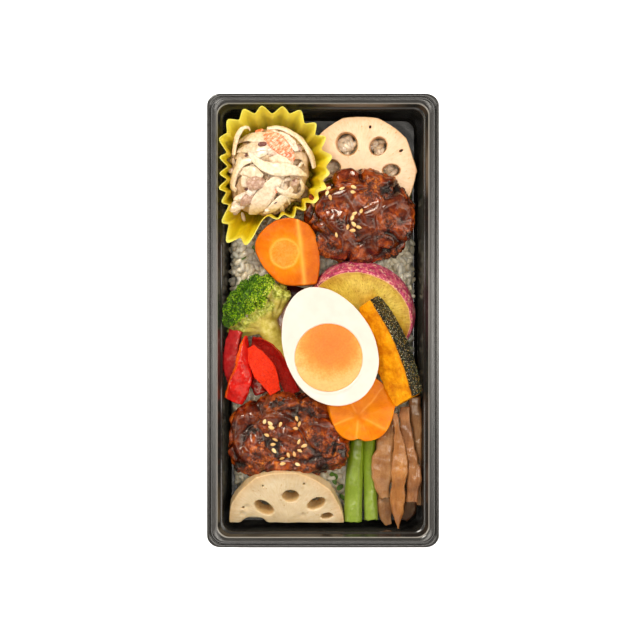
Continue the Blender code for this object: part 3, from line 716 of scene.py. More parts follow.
def egg_yolk_finish():
    finish = Finish("egg_yolk", 0.46, 0.4, inside=(0.3, (1.0, 0.5, 0.15), 1.2))
    here = finish.turned(EGG_CENTRE, EGG_TILT)
    # the deep orange heart sits up and to the right, with a ragged edge
    heart = Vector((1.2, 0.6, 0)) * MM
    off = finish.from_point(here, heart)
    out = finish.span(finish.length(off), 0.0, 0.0185)
    rag = finish.swing(finish.noise(3.6, 6, 0.7), 0.5)
    core = finish.ramp(
        finish.maths("ADD", out, rag),
        (0.0, 226, 112, 20), (0.50, 230, 122, 28), (0.68, 234, 138, 44), (0.82, 234, 160, 76),
        (0.97, 232, 176, 104),
    )
    grain = finish.noise(0.9, 3, 0.6)
    speck = finish.ramp(grain, (0.35, 248, 238, 228), (0.6, 1.0))
    finish.colour(finish.times(core, speck))
    finish.rough(finish.ramp(finish.noise(3, 2), (0.3, 0.36), (0.7, 0.6)))
    finish.bump(finish.noise(0.7, 4, 0.65), 0.18, 0.7)
    finish.bump(finish.noise(3.0, 3, 0.6), 0.35, 0.5)
    return finish


def half_ball(name, half, blunt):
    """The lower half of a long ball along Y, cut flat at Z 0."""
    bpy.ops.mesh.primitive_uv_sphere_add(segments=96, ring_count=64, radius=1)
    ball = fresh(name)
    settle(ball, (0, 0, 0), (90, 0, 0))
    shape(
        ball,
        lambda point, normal: Vector(
            (
                point.x * MM * half[0] * (1 - blunt * point.y * MM),
                point.y * MM * half[1],
                point.z * MM * half[2] * (1 - blunt * point.y * MM),
            )
        ),
    )
    cut_off(ball, (0, 0, 0), (0, 0, 1))
    return ball


def make_egg():
    white = half_ball("egg_white_half", EGG_HALF, 0.10)
    melt(white, 0.45, 5)
    middle = Vector(YOLK_MIDDLE)

    def dished(point, normal):
        if point.z > -6 and normal.z > 0.6:
            out = (point - middle).xy.length
            bed = 1.6 * (1 - ease(YOLK_RADIUS - 0.9, YOLK_RADIUS + 0.1, out))
            lip = 0.22 * math.exp(-(((out - YOLK_RADIUS - 0.6) / 0.7) ** 2))
            crown = 0.25 * bumps(point, 12, 4)
            return point + Vector((0, 0, lip + crown - bed - 0.1))
        return point + normal * 0.15 * bumps(point, 9, 2)

    shape(white, dished)
    settle(white, EGG_CENTRE, EGG_TILT)
    hand_over(white, egg_white_finish(), "egg_white", "egg_white", angle=60)

    yolk = half_ball("egg_yolk_half", (YOLK_RADIUS,) * 3, 0.0)
    melt(yolk, 0.45, 7)

    def crumbly(point, normal):
        if normal.z > 0.5:
            out = point.xy.length
            notch = 1.3 * math.exp(-(((point.x + 14.6) / 2.4) ** 2 + ((point.y - 1.5) / 1.6) ** 2))
            swell = (
                0.45 * (1 - (out / YOLK_RADIUS) ** 2)
                + 0.22 * bumps(point, 4.5, 6)
                + 0.1 * bumps(point, 1.6, 7)
            )
            return point + Vector((0, 0, 0.05 + swell - notch))
        return point

    shape(yolk, crumbly)
    settle(yolk, YOLK_MIDDLE)
    settle(yolk, EGG_CENTRE, EGG_TILT)
    return hand_over(yolk, egg_yolk_finish(), "egg_yolk", "egg_yolk", angle=60)


# Slices


def around(radius, angle):
    return radius * math.cos(math.radians(angle)), radius * math.sin(math.radians(angle))


def ellipse(centre, half, turn=0.0, steps=48):
    spin = Matrix.Rotation(math.radians(turn), 2)
    points = [
        spin @ Vector((half[0] * math.cos(t), half[1] * math.sin(t)))
        for t in np.linspace(0, math.tau, steps, False)
    ]
    return [(centre[0] + point.x, centre[1] + point.y) for point in points]


def meshed(name, curve):
    """The curve as a closed mesh."""
    alone(placed(name, curve))
    bpy.ops.object.convert(target="MESH")
    piece = bpy.context.object
    work_on(piece, "VERT")
    bpy.ops.mesh.remove_doubles(threshold=0.01 * MM)
    face_out()
    return piece


def closed_line(curve, outline):
    """Adds the outline, in millimetres, to a flat curve."""
    curve.dimensions = "2D"
    spline = curve.splines.new("POLY")
    spline.points.add(len(outline) - 1)
    for point, (x, y) in zip(spline.points, outline):
        point.co = (x * MM, y * MM, 0, 1)
    spline.use_cyclic_u = True


def slab(name, outlines, thickness):
    """A flat slice with its top at Z 0: the first outline is its edge and the others are holes."""
    curve = bpy.data.curves.new(name, "CURVE")
    for outline in outlines:
        closed_line(curve, outline)
    curve.fill_mode = "BOTH"
    curve.extrude = thickness / 2 * MM
    piece = meshed(name, curve)
    settle(piece, (0, 0, -thickness / 2))
    return piece


def peeled_round(radius, facets, steps, first=0, span=360, seed=1):
    """An outline round a peeled root: an arc flattened into facets of uneven depth."""
    points = []
    for i in range(steps):
        angle = first + span * i / steps
        within = (angle % (360 / facets)) / (360 / facets)
        reach = radius * (0.975 + 0.025 * (1 - math.sin(math.pi * within)))
        points.append(around(reach + 0.5 * bumps(Vector((angle / 9, 0, 0)), 3, seed), angle))
    return points


LOTUS_PLACE, LOTUS_RING, LOTUS_THICKNESS = (17.9, 70.9, 28.2), 14.6, 7.5
# the ring of holes, as (angle, half along the radius, half across); the last two are hidden
LOTUS_HOLES = (
    (116.6, 5.9, 5.2), (55.0, 4.7, 4.3), (1.8, 4.5, 3.1), (171.0, 5.0, 3.6), (232.0, 4.6, 3.6),
    (292.0, 4.9, 4.0),
)


def lotus_finish(name, place, turn, flesh_tones):
    finish = Finish(name, 0.34, 0.45, coat=(0.2, 0.2), inside=(0.5, (1.0, 0.75, 0.45), 2.4))
    here = finish.turned(place, turn)
    cloud = finish.noise(8, 4, 0.6)
    flesh = finish.ramp(cloud, *((share, *each) for share, each in zip((0.25, 0.5, 0.8), flesh_tones)))
    out = finish.span(finish.length(here), 0.0225, 0.0265)
    rim = finish.mix(out, flesh, finish.times(flesh, tone(240, 214, 176)), 0.5)
    # rays of fine vessels from the middle out
    streak = finish.noise(0.45, 3, 0.6, at=finish.rays(here, finish.length(here), 0.012, 0.12))
    veins = finish.ramp(streak, (0.3, 246, 238, 226), (0.62, 1.0))
    fleck = finish.ramp(finish.noise(1.6, 4, 0.7), (0.30, 220, 190, 140), (0.39, 1.0))
    skin = finish.times(finish.times(rim, veins), fleck)
    # the walls of the holes and the cut edge are browner
    browned = finish.times(skin, tone(244, 224, 190))
    finish.colour(finish.mix(finish.attribute("inner"), skin, browned))
    finish.rough(finish.ramp(cloud, (0.3, 0.26), (0.7, 0.44)))
    finish.bump(streak, 0.05, 0.3)
    finish.bump(finish.noise(1.4, 3, 0.6), 0.08, 0.4)
    finish.bump(finish.noise(6, 2), 0.3, 0.3)
    return finish


def funnel(lotus, holes, narrowing):
    """Narrows the lotus holes towards the back of the slice, and marks their walls."""
    inner = []

    def narrowed(point, normal):
        wall = 0.0
        for (x, y), (long, wide), turn in holes:
            spin = Matrix.Rotation(math.radians(-turn), 2)
            off = spin @ (point.xy - Vector((x, y)))
            out = Vector((off.x / long, off.y / wide)).length
            if out < 1.7:
                depth = min(1.0, max(0.0, -point.z / LOTUS_THICKNESS))
                pull = narrowing * depth * (1 - ease(1.05, 1.7, out))
                wall = max(wall, (1 - ease(1.02, 1.12, out)) * ease(0.02, 0.2, depth))
                point = Vector((point.x + (x - point.x) * pull, point.y + (y - point.y) * pull, point.z))
        inner.append(wall)
        return point

    shape(lotus, narrowed)
    mark(lotus, inner=inner)


def make_upper_lotus():
    holes = [(around(LOTUS_RING, angle), half, angle) for angle, *half in LOTUS_HOLES]
    # a small hole in the middle and two pinholes near the edge
    holes.append(((0.4, -0.6), (1.9, 1.6), 0.0))
    holes += [(around(21.5, 78), (1.0, 0.6), 80.0), (around(21.5, 27), (1.2, 0.6), 27.0)]
    outlines = [peeled_round(26.7, 10, 120)]
    outlines += [ellipse(centre, half, turn, 48 if half[0] > 1.5 else 16) for centre, half, turn in holes]
    place, turn = LOTUS_PLACE, (2, -2, 0)
    lotus = slab("lotus_upper", outlines, LOTUS_THICKNESS)
    melt(lotus, 0.42, 4)
    funnel(lotus, holes, 0.16)
    shape(
        lotus,
        lambda point, normal: point + normal * (0.28 * bumps(point, 8, 3) + 0.1 * bumps(point, 2.2, 5)),
    )
    settle(lotus, place, turn)

    def beside_cup(point, normal):
        # the slice stops at the outside of the pleated cup
        off = Vector((point.x - CUP_CENTRE[0], point.y - CUP_CENTRE[1], 0))
        angle = math.atan2(off.y, off.x)
        share = max(0.0, (point.z - CUP_BASE) / (CUP_RIM - CUP_BASE)) ** (1 / cup_flare(angle))
        wall = cup_point(angle, share, 0.0)
        reach = math.hypot(wall.x - CUP_CENTRE[0], wall.y - CUP_CENTRE[1]) + 0.6
        if off.length >= reach:
            return point
        return point + off.normalized() * (reach - off.length)

    shape(lotus, beside_cup)
    finish = lotus_finish("lotus_upper", place, turn, ((218, 180, 142), (229, 196, 161), (238, 211, 182)))
    return hand_over(lotus, finish, "lotus_root", "lotus_slice_upper", angle=70)


def make_lower_lotus():
    outline = [(x, max(y, 0.0)) for x, y in peeled_round(27.7, 9, 130, 0, 185, 5) if y > -0.5]
    holes = []
    for angle, long, wide, turn in (
        (140.0, 5.4, 3.3, -36.0), (93.0, 4.1, 3.3, -4.0), (50.0, 4.9, 2.9, 30.0), (22.0, 3.1, 1.6, 10.0)
    ):
        x, y = around(17.5, angle)
        holes.append(((x + 3.4, y - 3.1), (long, wide), turn))
    holes += [
        (around(reach, angle), (0.75, 0.6), angle) for angle, reach in ((118, 22.6), (67, 22.8), (158, 21.6))
    ]
    outlines = (
        [outline]
        + [ellipse(centre, half, turn, 48 if half[0] > 1.5 else 16) for centre, half, turn in holes]
    )
    place, turn = (-17.9, -96.2, 27.5), (26, 0, 0)
    lotus = slab("lotus_lower", outlines, LOTUS_THICKNESS)
    melt(lotus, 0.42, 4)
    funnel(lotus, holes, 0.45)

    def cooked(point, normal):
        dimple = 0.0
        for x, y, size in ((-18.3, 8.6, 1.3), (-20.5, 5.0, 1.1), (8.5, 4.2, 1.0)):
            if normal.z > 0.4:
                dimple += 0.6 * math.exp(-(((point.x - x) ** 2 + (point.y - y) ** 2) / size**2))
        return point + normal * (0.28 * bumps(point, 8, 9) + 0.1 * bumps(point, 2.2, 4) - dimple)

    shape(lotus, cooked)
    settle(lotus, place, turn)

    def notched(point, normal):
        away = Vector(((point.x + 32.8) / 6.4, (point.y + 96.6) / 3.0, 0)).length
        return point + Vector((0, 2.4 * (1 - ease(0.5, 1.15, away)), 0)) if away < 1.15 else point

    shape(lotus, notched)
    # painted shade: the lower slice is tilted up towards the lamps, so its flesh gets darker tones than the
    # upper one's
    finish = lotus_finish("lotus_lower", place, turn, ((196, 174, 138), (206, 186, 150), (218, 200, 168)))
    return hand_over(lotus, finish, "lotus_root", "lotus_slice_lower", angle=70)


# Patties


def patty_finish():
    finish = Finish("glazed_patty", 0.3, 0.15, AMBER, coat=(0.9, 0.02, 1.42))
    cloud = finish.noise(4.6, 5, 0.68, 0.8)
    meat = finish.ramp(
        cloud,
        (0.32, 44, 12, 6), (0.42, 94, 33, 6), (0.50, 146, 64, 14), (0.60, 190, 98, 26), (0.72, 232, 152, 58),
    )
    # painted shade: darker where the surface lies low, in the crevices between the lumps
    crevice_shade = finish.ramp(finish.attribute("height"), (0.0, 30, 15, 10), (0.3, 132, 100, 82), (0.65, 1.0))
    crumb = finish.noise(0.8, 4, 0.72)
    speck = finish.ramp(crumb, (0.36, 48, 26, 18), (0.46, 190, 160, 140), (0.6, 1.0))
    meat = finish.times(finish.times(meat, crevice_shade), speck)
    glaze = finish.attribute("glaze")
    pool = finish.noise(6.0, 5, 0.6, 0.5)
    thick = finish.ramp(
        pool, (0.34, 28, 5, 1), (0.43, 66, 15, 3), (0.52, 110, 34, 6), (0.62, 164, 72, 16),
        (0.73, 214, 120, 36),
    )
    thick = finish.times(thick, crevice_shade)
    dusted = finish.ramp(crumb, (0.33, 150, 110, 96), (0.45, 1.0))
    thick = finish.times(thick, dusted)
    coated = finish.mix(
        finish.maths("MULTIPLY", glaze, finish.ramp(cloud, (0.4, 0.97), (0.65, 0.6))), meat, thick
    )
    coated = finish.mix(finish.attribute("rope"), coated, tone(58, 12, 2), 0.6)
    finish.colour(finish.mix(finish.attribute("char"), coated, tone(16, 9, 7)))
    finish.rough(finish.ramp(glaze, (0.0, 0.4), (0.8, 0.18)))
    bare = finish.maths("SUBTRACT", 1.0, finish.maths("MULTIPLY", glaze, 0.9))
    finish.bump(finish.maths("MULTIPLY", crumb, bare), 0.6, 1.0)
    finish.bump(finish.noise(2.6, 3), 0.2, 0.3)
    finish.coat_follows()
    return finish


def near_path(point, path):
    """Distance across from the point to the nearest stretch of a path of (across, along) places."""
    nearest = math.inf
    for start, end in zip(path, path[1:]):
        start, end = Vector(start), Vector(end)
        along = end - start
        share = max(0.0, min(1.0, (point.xy - start).dot(along) / along.length_squared))
        nearest = min(nearest, (point.xy - start - along * share).length)
    return nearest


def make_patty(name, node, finish, half, place, turn, square, seed, taper, drapes, crusts, burnt):
    """A fried patty: soft lobes under a dark glaze, ropes of sauce, bare crumbly crust and burnt bits."""
    patty = pillow(name, half, 2 * square, taper)
    melt(patty, 0.4)
    heights, glazes, chars, ropes = [], [], [], []

    def near_spot(point, spots):
        return max(math.exp(-(((point.x - x) ** 2 + (point.y - y) ** 2) / size**2)) for x, y, size in spots)

    def minced(point, normal):
        warp = Vector((bumps(point, 8, seed), bumps(point, 8, seed + 3), bumps(point, 8, seed + 6))) * 4.0
        near, next_near = lumps(point + warp, 17, seed)
        valley = 1 - ease(0.0, 0.22, next_near - near)
        rope, raised = 0.0, 0.0
        if normal.z > 0.1:
            for width, path in drapes:
                bank = math.exp(-((near_path(point, path) / width) ** 2))
                rope, raised = max(rope, bank), max(raised, 0.42 * width * bank)
        lobes = (
            1.6 * bumps(point + warp, 10, seed + 1)
            + (0.75 - 0.6 * rope) * bumps(point + warp, 5.0, seed + 2)
            - (1.5 - rope) * valley
        )
        side = 1 - ease(0.2, 0.7, normal.z)
        bare = ease(0.42, 0.66, near_spot(point, crusts) + 0.45 * side + 0.5 * bumps(point, 4.2, seed + 4))
        pit = lumps(point + warp * 0.3, 2.4, seed + 6)[0]
        grain = 0.9 * bumps(point, 2.2, seed + 5) + 1.3 * (0.5 - pit) + 0.55 * bumps(point, 0.95, seed + 7)
        bare *= 1 - 0.95 * rope
        ripple = 0.22 * bumps(point, 2.4, seed + 9) * (1 - rope)
        # how high each point lies, for the painted shade in the crevices
        heights.append(ease(-2.4, 0.8, lobes + bare * grain))
        glazes.append(1 - bare)
        ropes.append(ease(0.25, 0.8, rope))
        scorched = 0.7 * near_spot(point, burnt) + 0.55 * bumps(point, 2.6, seed + 8)
        char = ease(0.34, 0.6, scorched + 0.4 * bumps(point, 1.1, seed))
        chars.append(0.95 * char * (1 - 0.85 * rope))
        rise = lobes + bare * grain + (1 - bare) * ripple + raised + 0.3 * char * bumps(point, 0.9, seed)
        return point + normal * rise

    shape(patty, minced)
    mark(patty, height=heights, glaze=glazes, char=chars, rope=ropes)
    settle(patty, place, turn)
    return hand_over(patty, finish, "glazed_patty", node, angle=80)


def make_patties():
    glazed = patty_finish()
    # ropes of sauce (each with its width), bare crust and burnt spots, from each patty's own middle
    upper_drapes = (
        (3.2, ((-15.5, 9.0), (-9.0, 9.6), (-6.0, 11.0), (-3.5, 5.0), (0.5, -1.0))),
        (4.4, ((0.5, -1.0), (4.5, -6.0), (5.0, -13.0))),
        (3.4, ((0.5, -1.0), (6.0, 1.8), (12.7, 5.0), (18.0, 8.0), (21.6, 1.5))),
        (3.6, ((-13.0, -3.0), (-8.0, -8.0), (-4.0, -14.0))),
    )
    upper_crusts = (
        (6.0, 14.0, 4.5), (13.5, 11.5, 5.0), (14.0, -3.0, 4.2), (22.0, 6.0, 4.0), (16.0, -18.5, 4.0),
        (-15.0, -16.0, 5.0), (5.0, 9.0, 3.0),
    )
    upper_burnt = (
        (-9.5, -2.5, 2.8), (17.0, -19.0, 3.5), (-20.0, -10.0, 3.0), (23.5, -8.0, 2.5), (-16.5, 5.5, 1.8),
        (9.0, -10.0, 1.6), (13.0, -7.5, 1.8),
    )
    make_patty(
        "patty_minced_upper", "patty_upper", glazed,
        half=(26.2, 22.4, 10.4), place=(17.2, 49.3, 30.3), turn=(0, 0, 0), square=1.15, seed=2, taper=0.0,
        drapes=upper_drapes, crusts=upper_crusts, burnt=upper_burnt,
    )
    lower_drapes = (
        (2.8, ((-22.0, 9.0), (-24.5, 2.0), (-24.0, -5.0), (-22.0, -10.0))),
        (3.0, ((-16.5, 14.0), (-17.5, 9.0))), (3.2, ((-9.0, 9.5), (-4.0, 9.0), (-1.5, 10.0))),
        (3.0, ((15.0, 5.0), (17.0, 4.0))), (2.8, ((-2.0, 1.0), (3.0, -2.0))),
    )
    lower_crusts = (
        (-12.0, 10.0, 5.0), (-3.0, 13.0, 5.5), (10.0, 11.0, 6.5), (-9.0, -3.0, 6.5), (3.0, -6.0, 6.0),
        (19.0, -9.0, 6.5), (12.0, 0.0, 4.0), (-20.0, -13.0, 5.0), (6.0, -15.0, 7.0), (-14.0, -10.0, 5.0),
    )
    lower_burnt = (
        (-4.5, 14.5, 4.6), (1.0, 9.5, 3.0), (22.0, -4.5, 3.6), (25.5, -9.0, 3.2), (-24.0, -13.5, 3.5),
        (-5.5, -9.0, 2.4), (-17.0, 3.5, 2.6), (-11.0, 12.0, 2.2),
    )
    make_patty(
        "patty_minced_lower", "patty_lower", glazed,
        half=(28.8, 20.6, 10.0), place=(-16.3, -54.6, 30.1), turn=(0, 0, 2), square=1.3, seed=7, taper=0.09,
        drapes=lower_drapes, crusts=lower_crusts, burnt=lower_burnt,
    )


# Carrot


def rounded_outline(points, steps=8):
    """A closed outline through the points, rounded between them."""
    result = []
    count = len(points)
    for i in range(count):
        before, start, end, after = [Vector(points[(i + k) % count]) for k in (-1, 0, 1, 2)]
        for step in range(steps):
            t = step / steps
            curve = 2 * start + (end - before) * t + (2 * before - 5 * start + 4 * end - after) * t**2
            result.append(tuple(0.5 * (curve + (3 * start - before - 3 * end + after) * t**3)))
    return result


def carrot_finish(name, place, turn, core=80.0, heart_shows=False):
    """Cut carrot, whose heart ends at half of core."""
    finish = Finish(name, 0.36, 0.2, AMBER, coat=(0.1, 0.1, 1.4), inside=(0.2, (1.0, 0.45, 0.06), 1.4))
    here = finish.turned(place, turn)
    cloud = finish.noise(5, 3, 0.6)
    flesh = finish.ramp(cloud, (0.3, 210, 106, 0), (0.7, 228, 134, 4))
    out = finish.maths("ADD", finish.across(here), finish.swing(cloud, 0.0016))
    wide = finish.maths("DIVIDE", out, core * MM)
    heart = finish.span(wide, 0.52, 0.49, float(heart_shows))
    ring = finish.ramp(wide, (0.44, 0.0), (0.51, 1.0), (0.58, 0.0))
    outer = finish.ramp(wide, (0.6, 1.0), (1.2, 232, 206, 180))
    mottle = finish.ramp(finish.noise(1.2, 3, 0.7), (0.35, 226, 128, 34), (0.65, 244, 166, 78))
    flesh = finish.mix(heart, finish.times(flesh, outer), mottle, 0.6)
    flesh = finish.mix(ring, flesh, tone(250, 190, 84), 0.5)
    streak = finish.ramp(
        finish.noise(0.5, 3, 0.6, at=finish.rays(here, out, 0.01, 0.2)), (0.3, 246, 230, 214), (0.6, 1.0)
    )
    flesh = finish.times(flesh, streak)
    # painted highlight: paler along the ridges marked as edge
    finish.colour(finish.mix(finish.attribute("edge"), flesh, tone(252, 188, 80), 0.5))
    finish.bump(finish.noise(1.0, 3, 0.6), 0.06, 0.4)
    finish.bump(finish.noise(5.0, 2), 0.25, 0.4)
    return finish


CARROT_HEART, CARROT_HEART_RADIUS = (-18.2, 31.7, 39.0), 6.8


def make_carrot_chunk():
    outline = (
        (-28.6, 42.4), (-23.6, 46.6), (-19.5, 48.0), (-14.8, 48.4), (-9.8, 47.2), (-5.6, 44.2), (-2.6, 37.0),
        (-1.6, 28.5), (-2.6, 19.0),
    )
    outline += ((-5.5, 16.9), (-18.6, 17.0), (-25.8, 22.6), (-29.8, 28.0), (-32.4, 35.0))
    chunk = slab("carrot_piece", [rounded_outline(outline)], 24.0)
    settle(chunk, (0, 0, 44.2))
    ridge_start, ridge_end = Vector((-12.0, 48.5, 40.5)), Vector((-8.6, 17.8, 38.5))
    for drop, side in ((6.0, -1), (30.0, 1)):
        across = Vector((side * math.cos(math.radians(drop)), 0, -math.sin(math.radians(drop))))
        normal = (ridge_end - ridge_start).cross(across)
        normal = (normal if normal.z > 0 else -normal).normalized()
        cut_off(chunk, ridge_start, normal)
    melt(chunk, 0.42, 5)
    highlight_lines = []

    def worn(point, normal):
        off = near_path(point, ((ridge_start.x, ridge_start.y), (ridge_end.x, ridge_end.y)))
        # the ring of the heart shows as a faint raised line
        ring = abs((point.xy - Vector(CARROT_HEART[:2])).length - CARROT_HEART_RADIUS)
        raised = 0.18 * math.exp(-((ring / 0.6) ** 2)) * max(0.0, normal.z)
        # the ridge between the cut faces is marked for the painted highlight
        highlight_lines.append(math.exp(-((off / 1.1) ** 2)) if normal.z > 0.3 else 0.0)
        return point + normal * (0.35 * bumps(point, 7, 3) + 0.08 * bumps(point, 1.8, 2) + raised)

    shape(chunk, worn)
    mark(chunk, edge=highlight_lines)
    finish = carrot_finish("carrot_chunk", CARROT_HEART, (-3, -6, 0), 13.3, heart_shows=True)
    return hand_over(chunk, finish, "carrot", "carrot_chunk", angle=60)


def make_carrot_flower():
    outline = []
    for angle in range(0, 360, 3):
        petal = math.cos(math.radians(5 * (angle - 306))) * 0.35
        notch = 1.3 * math.exp(-(((angle - 264) / 7) ** 2))
        outline.append(around(16.0 + petal - notch, angle))
    place, turn = (18.5, -41.6, 36.6), (0, 13, 0)
    flower = slab("carrot_blossom", [outline], 6.5)
    melt(flower, 0.4, 5)
    middle = Vector((-2.0, -3.6, 0))
    highlight_lines = []

    def carved(point, normal):
        if normal.z < 0.3:
            highlight_lines.append(0.0)
            return point + normal * 0.15 * bumps(point, 4, 7)
        off = point - middle
        bent = math.atan2(off.y, off.x) + 0.2 * bumps(point, 9, 2)
        # each petal slopes from a ridge down to the one beside it
        within = ((math.degrees(bent) - 266 + 720) % 72) / 72
        reach = off.xy.length
        crease = min(within, 1 - within)
        slope = 0.9 * (abs(within - 0.5) - 0.25) * ease(1.0, 9.0, reach)
        # the ridges between the petals are marked for the painted highlight
        highlight_lines.append(0.6 * math.exp(-((crease * reach * 1.256 / 0.5) ** 2)) * ease(0.5, 4, reach))
        return point + Vector((0, 0, 1.1 * slope + 0.25 * bumps(point, 5, 3) - 0.3))

    shape(flower, carved)
    mark(flower, edge=highlight_lines)
    settle(flower, place, turn)
    finish = carrot_finish("carrot_flower", place, turn)
    return hand_over(flower, finish, "carrot", "carrot_flower", angle=60)


# Sweet potato and squash

SWEET_PLACE, SWEET_TURN, SWEET_RADIUS, SWEET_THICKNESS = (17.6, 2.2, 31.0), (25, -8, 0), 24.2, 12.0


def sweet_potato_finish():
    finish = Finish("sweet_potato", 0.42, 0.4, coat=(0.2, 0.2), inside=(0.25, (1.0, 0.6, 0.15), 1.4))
    here = finish.turned(SWEET_PLACE, SWEET_TURN)
    out = finish.across(here)
    streak = finish.noise(0.7, 4, 0.6, at=finish.rays(here, out, 0.02, 0.25))
    flesh = finish.ramp(streak, (0.25, 184, 154, 46), (0.5, 212, 182, 70), (0.75, 230, 202, 94))
    blotch = finish.ramp(finish.noise(5.5, 4, 0.65), (0.3, 216, 196, 160), (0.6, 255, 255, 250))
    flesh = finish.times(flesh, blotch)
    pores = finish.ramp(finish.noise(0.8, 2, 0.6), (0.3, 190, 160, 110), (0.38, 1.0))
    flesh = finish.times(flesh, pores)
    ring = finish.span(
        finish.maths("ADD", out, finish.maths("MULTIPLY", finish.noise(3, 2), 0.0008)), 0.018, 0.0245
    )
    edge = finish.ramp(
        ring, (0.0, 1.0), (0.42, 246, 238, 214), (0.5, 255, 252, 226), (0.62, 236, 222, 190),
        (1.0, 232, 214, 174),
    )
    flesh = finish.times(flesh, edge)
    skin_cloud = finish.noise(3.2, 4, 0.65)
    skin = finish.ramp(skin_cloud, (0.28, 106, 18, 46), (0.5, 166, 44, 82), (0.72, 208, 96, 116))
    pale = finish.ramp(finish.noise(1.7, 5, 0.8, 0.6), (0.52, 0.0), (0.6, 0.9))
    skin = finish.mix(pale, skin, tone(230, 176, 150))
    skins = finish.attribute("skin")
    under = finish.ramp(skins, (0.15, 0.0), (0.45, 1.0), (0.8, 0.0))
    both = finish.mix(skins, flesh, skin)
    finish.colour(finish.mix(under, both, tone(236, 184, 110), 0.8))
    finish.bump(streak, 0.12, 0.5)
    finish.bump(finish.noise(1.6, 4, 0.65), 0.2, 0.5)
    return finish


def make_sweet_potato():
    outline = []
    for angle in range(0, 360, 3):
        reach = SWEET_RADIUS * (1 + 0.045 * math.cos(math.radians(2 * (angle - 150))))
        outline.append(around(reach, angle))
    slice_ = slab("sweet_potato_slice", [outline], SWEET_THICKNESS)
    melt(slice_, 0.45, 4)
    skins = []

    def rooty(point, normal):
        out = point.xy.length
        reach = SWEET_RADIUS * (1 + 0.045 * math.cos(2 * math.atan2(point.y, point.x) - math.radians(300)))
        bulge = 1 + 0.03 * (1 - (2 * (point.z + SWEET_THICKNESS / 2) / SWEET_THICKNESS) ** 2)
        side = ease(0.35, 0.6, Vector((normal.x, normal.y, 0)).length)
        ragged = 0.35 * bumps(point, 2.6, 5)
        skins.append(max(side, ease(reach - 1.3, reach - 0.8, out + ragged)))
        rough = 0.3 * bumps(point, 6, 3) + 0.12 * bumps(point, 1.6, 2)
        grown = Vector((point.x * bulge, point.y * bulge, point.z))
        return grown + normal * rough

    shape(slice_, rooty)
    mark(slice_, skin=skins)
    settle(slice_, SWEET_PLACE, SWEET_TURN)
    return hand_over(slice_, sweet_potato_finish(), "sweet_potato", "sweet_potato", angle=60)


PUMPKIN_PLACE, PUMPKIN_TURN = (32.7, -12.6, 42.3), (33, 0, -66.5)


def pumpkin_finish():
    finish = Finish("pumpkin", 0.4, 0.25, AMBER, inside=(0.25, (1.0, 0.45, 0.08), 1.4))
    grain = finish.noise(1.6, 5, 0.65, 0.6)
    flesh = finish.ramp(grain, (0.25, 198, 116, 0), (0.5, 224, 146, 4), (0.78, 242, 178, 32))
    cloud = finish.noise(6, 3)
    flesh = finish.times(flesh, finish.ramp(cloud, (0.3, 214, 184, 140), (0.6, 1.0)))
    along = finish.turned(PUMPKIN_PLACE, PUMPKIN_TURN, (0.6, 1, 1))
    patch = finish.noise(1.5, 4, 0.7, 0.8, at=along)
    rind = finish.ramp(patch, (0.34, 6, 9, 9), (0.56, 18, 25, 21), (0.74, 48, 52, 34))
    # rows of pale flecks
    fleck = finish.ramp(finish.cells(0.95, spread=0.9, at=along), (0.22, 1.0), (0.31, 0.0))
    fleck = finish.maths("MULTIPLY", fleck, finish.ramp(finish.noise(2.0, 3, 0.6), (0.34, 0.4), (0.5, 1.0)))
    rind = finish.mix(
        fleck,
        rind,
        finish.mix(
            finish.ramp(finish.noise(1.3, 2), (0.45, 0.0), (0.55, 1.0)),
            tone(226, 218, 186),
            tone(222, 176, 70),
        ),
    )
    finish.colour(finish.mix(finish.attribute("rind"), flesh, rind))
    finish.bump(grain, 0.3, 0.6)
    finish.bump(finish.maths("MULTIPLY", fleck, finish.attribute("rind")), 0.15, 0.8)
    finish.bump(finish.noise(0.6, 3), 0.08, 0.4)
    return finish


def make_pumpkin():
    half_length, bow = 25.0, 3.0
    stations = [i / 16 - 1 for i in range(33)]
    outer = [(half_length * t, bow * (1 - t * t)) for t in stations]
    inner = [(23.5 * t + 1.6 * (1 + t), -10.2 - 1.6 * t - 3.0 * (1 - t * t)) for t in reversed(stations)]
    squash = slab("pumpkin_wedge", [outer + inner], 10.0)
    melt(squash, 0.42, 5)
    rinds = []

    def cooked(point, normal):
        edge = bow * (1 - (point.x / half_length) ** 2) - point.y
        rinds.append(1 - ease(0.9, 1.5, edge + 0.3 * bumps(point, 3, 6)))
        soft = 0.35 * bumps(point, 5, 3) + 0.2 * bumps(point, 1.8, 2)
        return point + normal * soft

    shape(squash, cooked)
    mark(squash, rind=rinds)
    settle(squash, PUMPKIN_PLACE, PUMPKIN_TURN)
    return hand_over(squash, pumpkin_finish(), "pumpkin", "pumpkin_slice", angle=60)


# Strips


def swept(name, points, half_widths, section, ends=0.7, tilts=None, resolution=16):
    """A closed body along a smooth path, section being its outline in shares of the half width."""
    outline = bpy.data.curves.new(name + "_section", "CURVE")
    closed_line(outline, section)
    guide = placed(name + "_section", outline)
    curve = bpy.data.curves.new(name, "CURVE")
    curve.dimensions = "3D"
    curve.twist_mode = "Z_UP"
    curve.bevel_mode = "OBJECT"
    curve.bevel_object = guide
    curve.use_fill_caps = True
    curve.resolution_u = resolution
    path = curve.splines.new("BEZIER")
    path.bezier_points.add(len(points) - 1)
    path.radius_interpolation = "CARDINAL"
    tilts = tilts or [0] * len(points)
    for number, (knot, point, width, tilt) in enumerate(zip(path.bezier_points, points, half_widths, tilts)):
        knot.co = Vector(point) * MM
        knot.handle_left_type = knot.handle_right_type = "AUTO"
        knot.radius = width * (ends if number in (0, len(points) - 1) else 1.0)
        knot.tilt = math.radians(tilt)
    piece = meshed(name, curve)
    bpy.data.objects.remove(guide)
    return piece


def round_section(flat, square=0.7, steps=24):
    points = []
    for i in range(steps):
        angle = math.tau * i / steps
        x = math.copysign(abs(math.cos(angle)) ** square, math.cos(angle))
        y = math.copysign(abs(math.sin(angle)) ** square, math.sin(angle))
        points.append((x, y * flat))
    return points


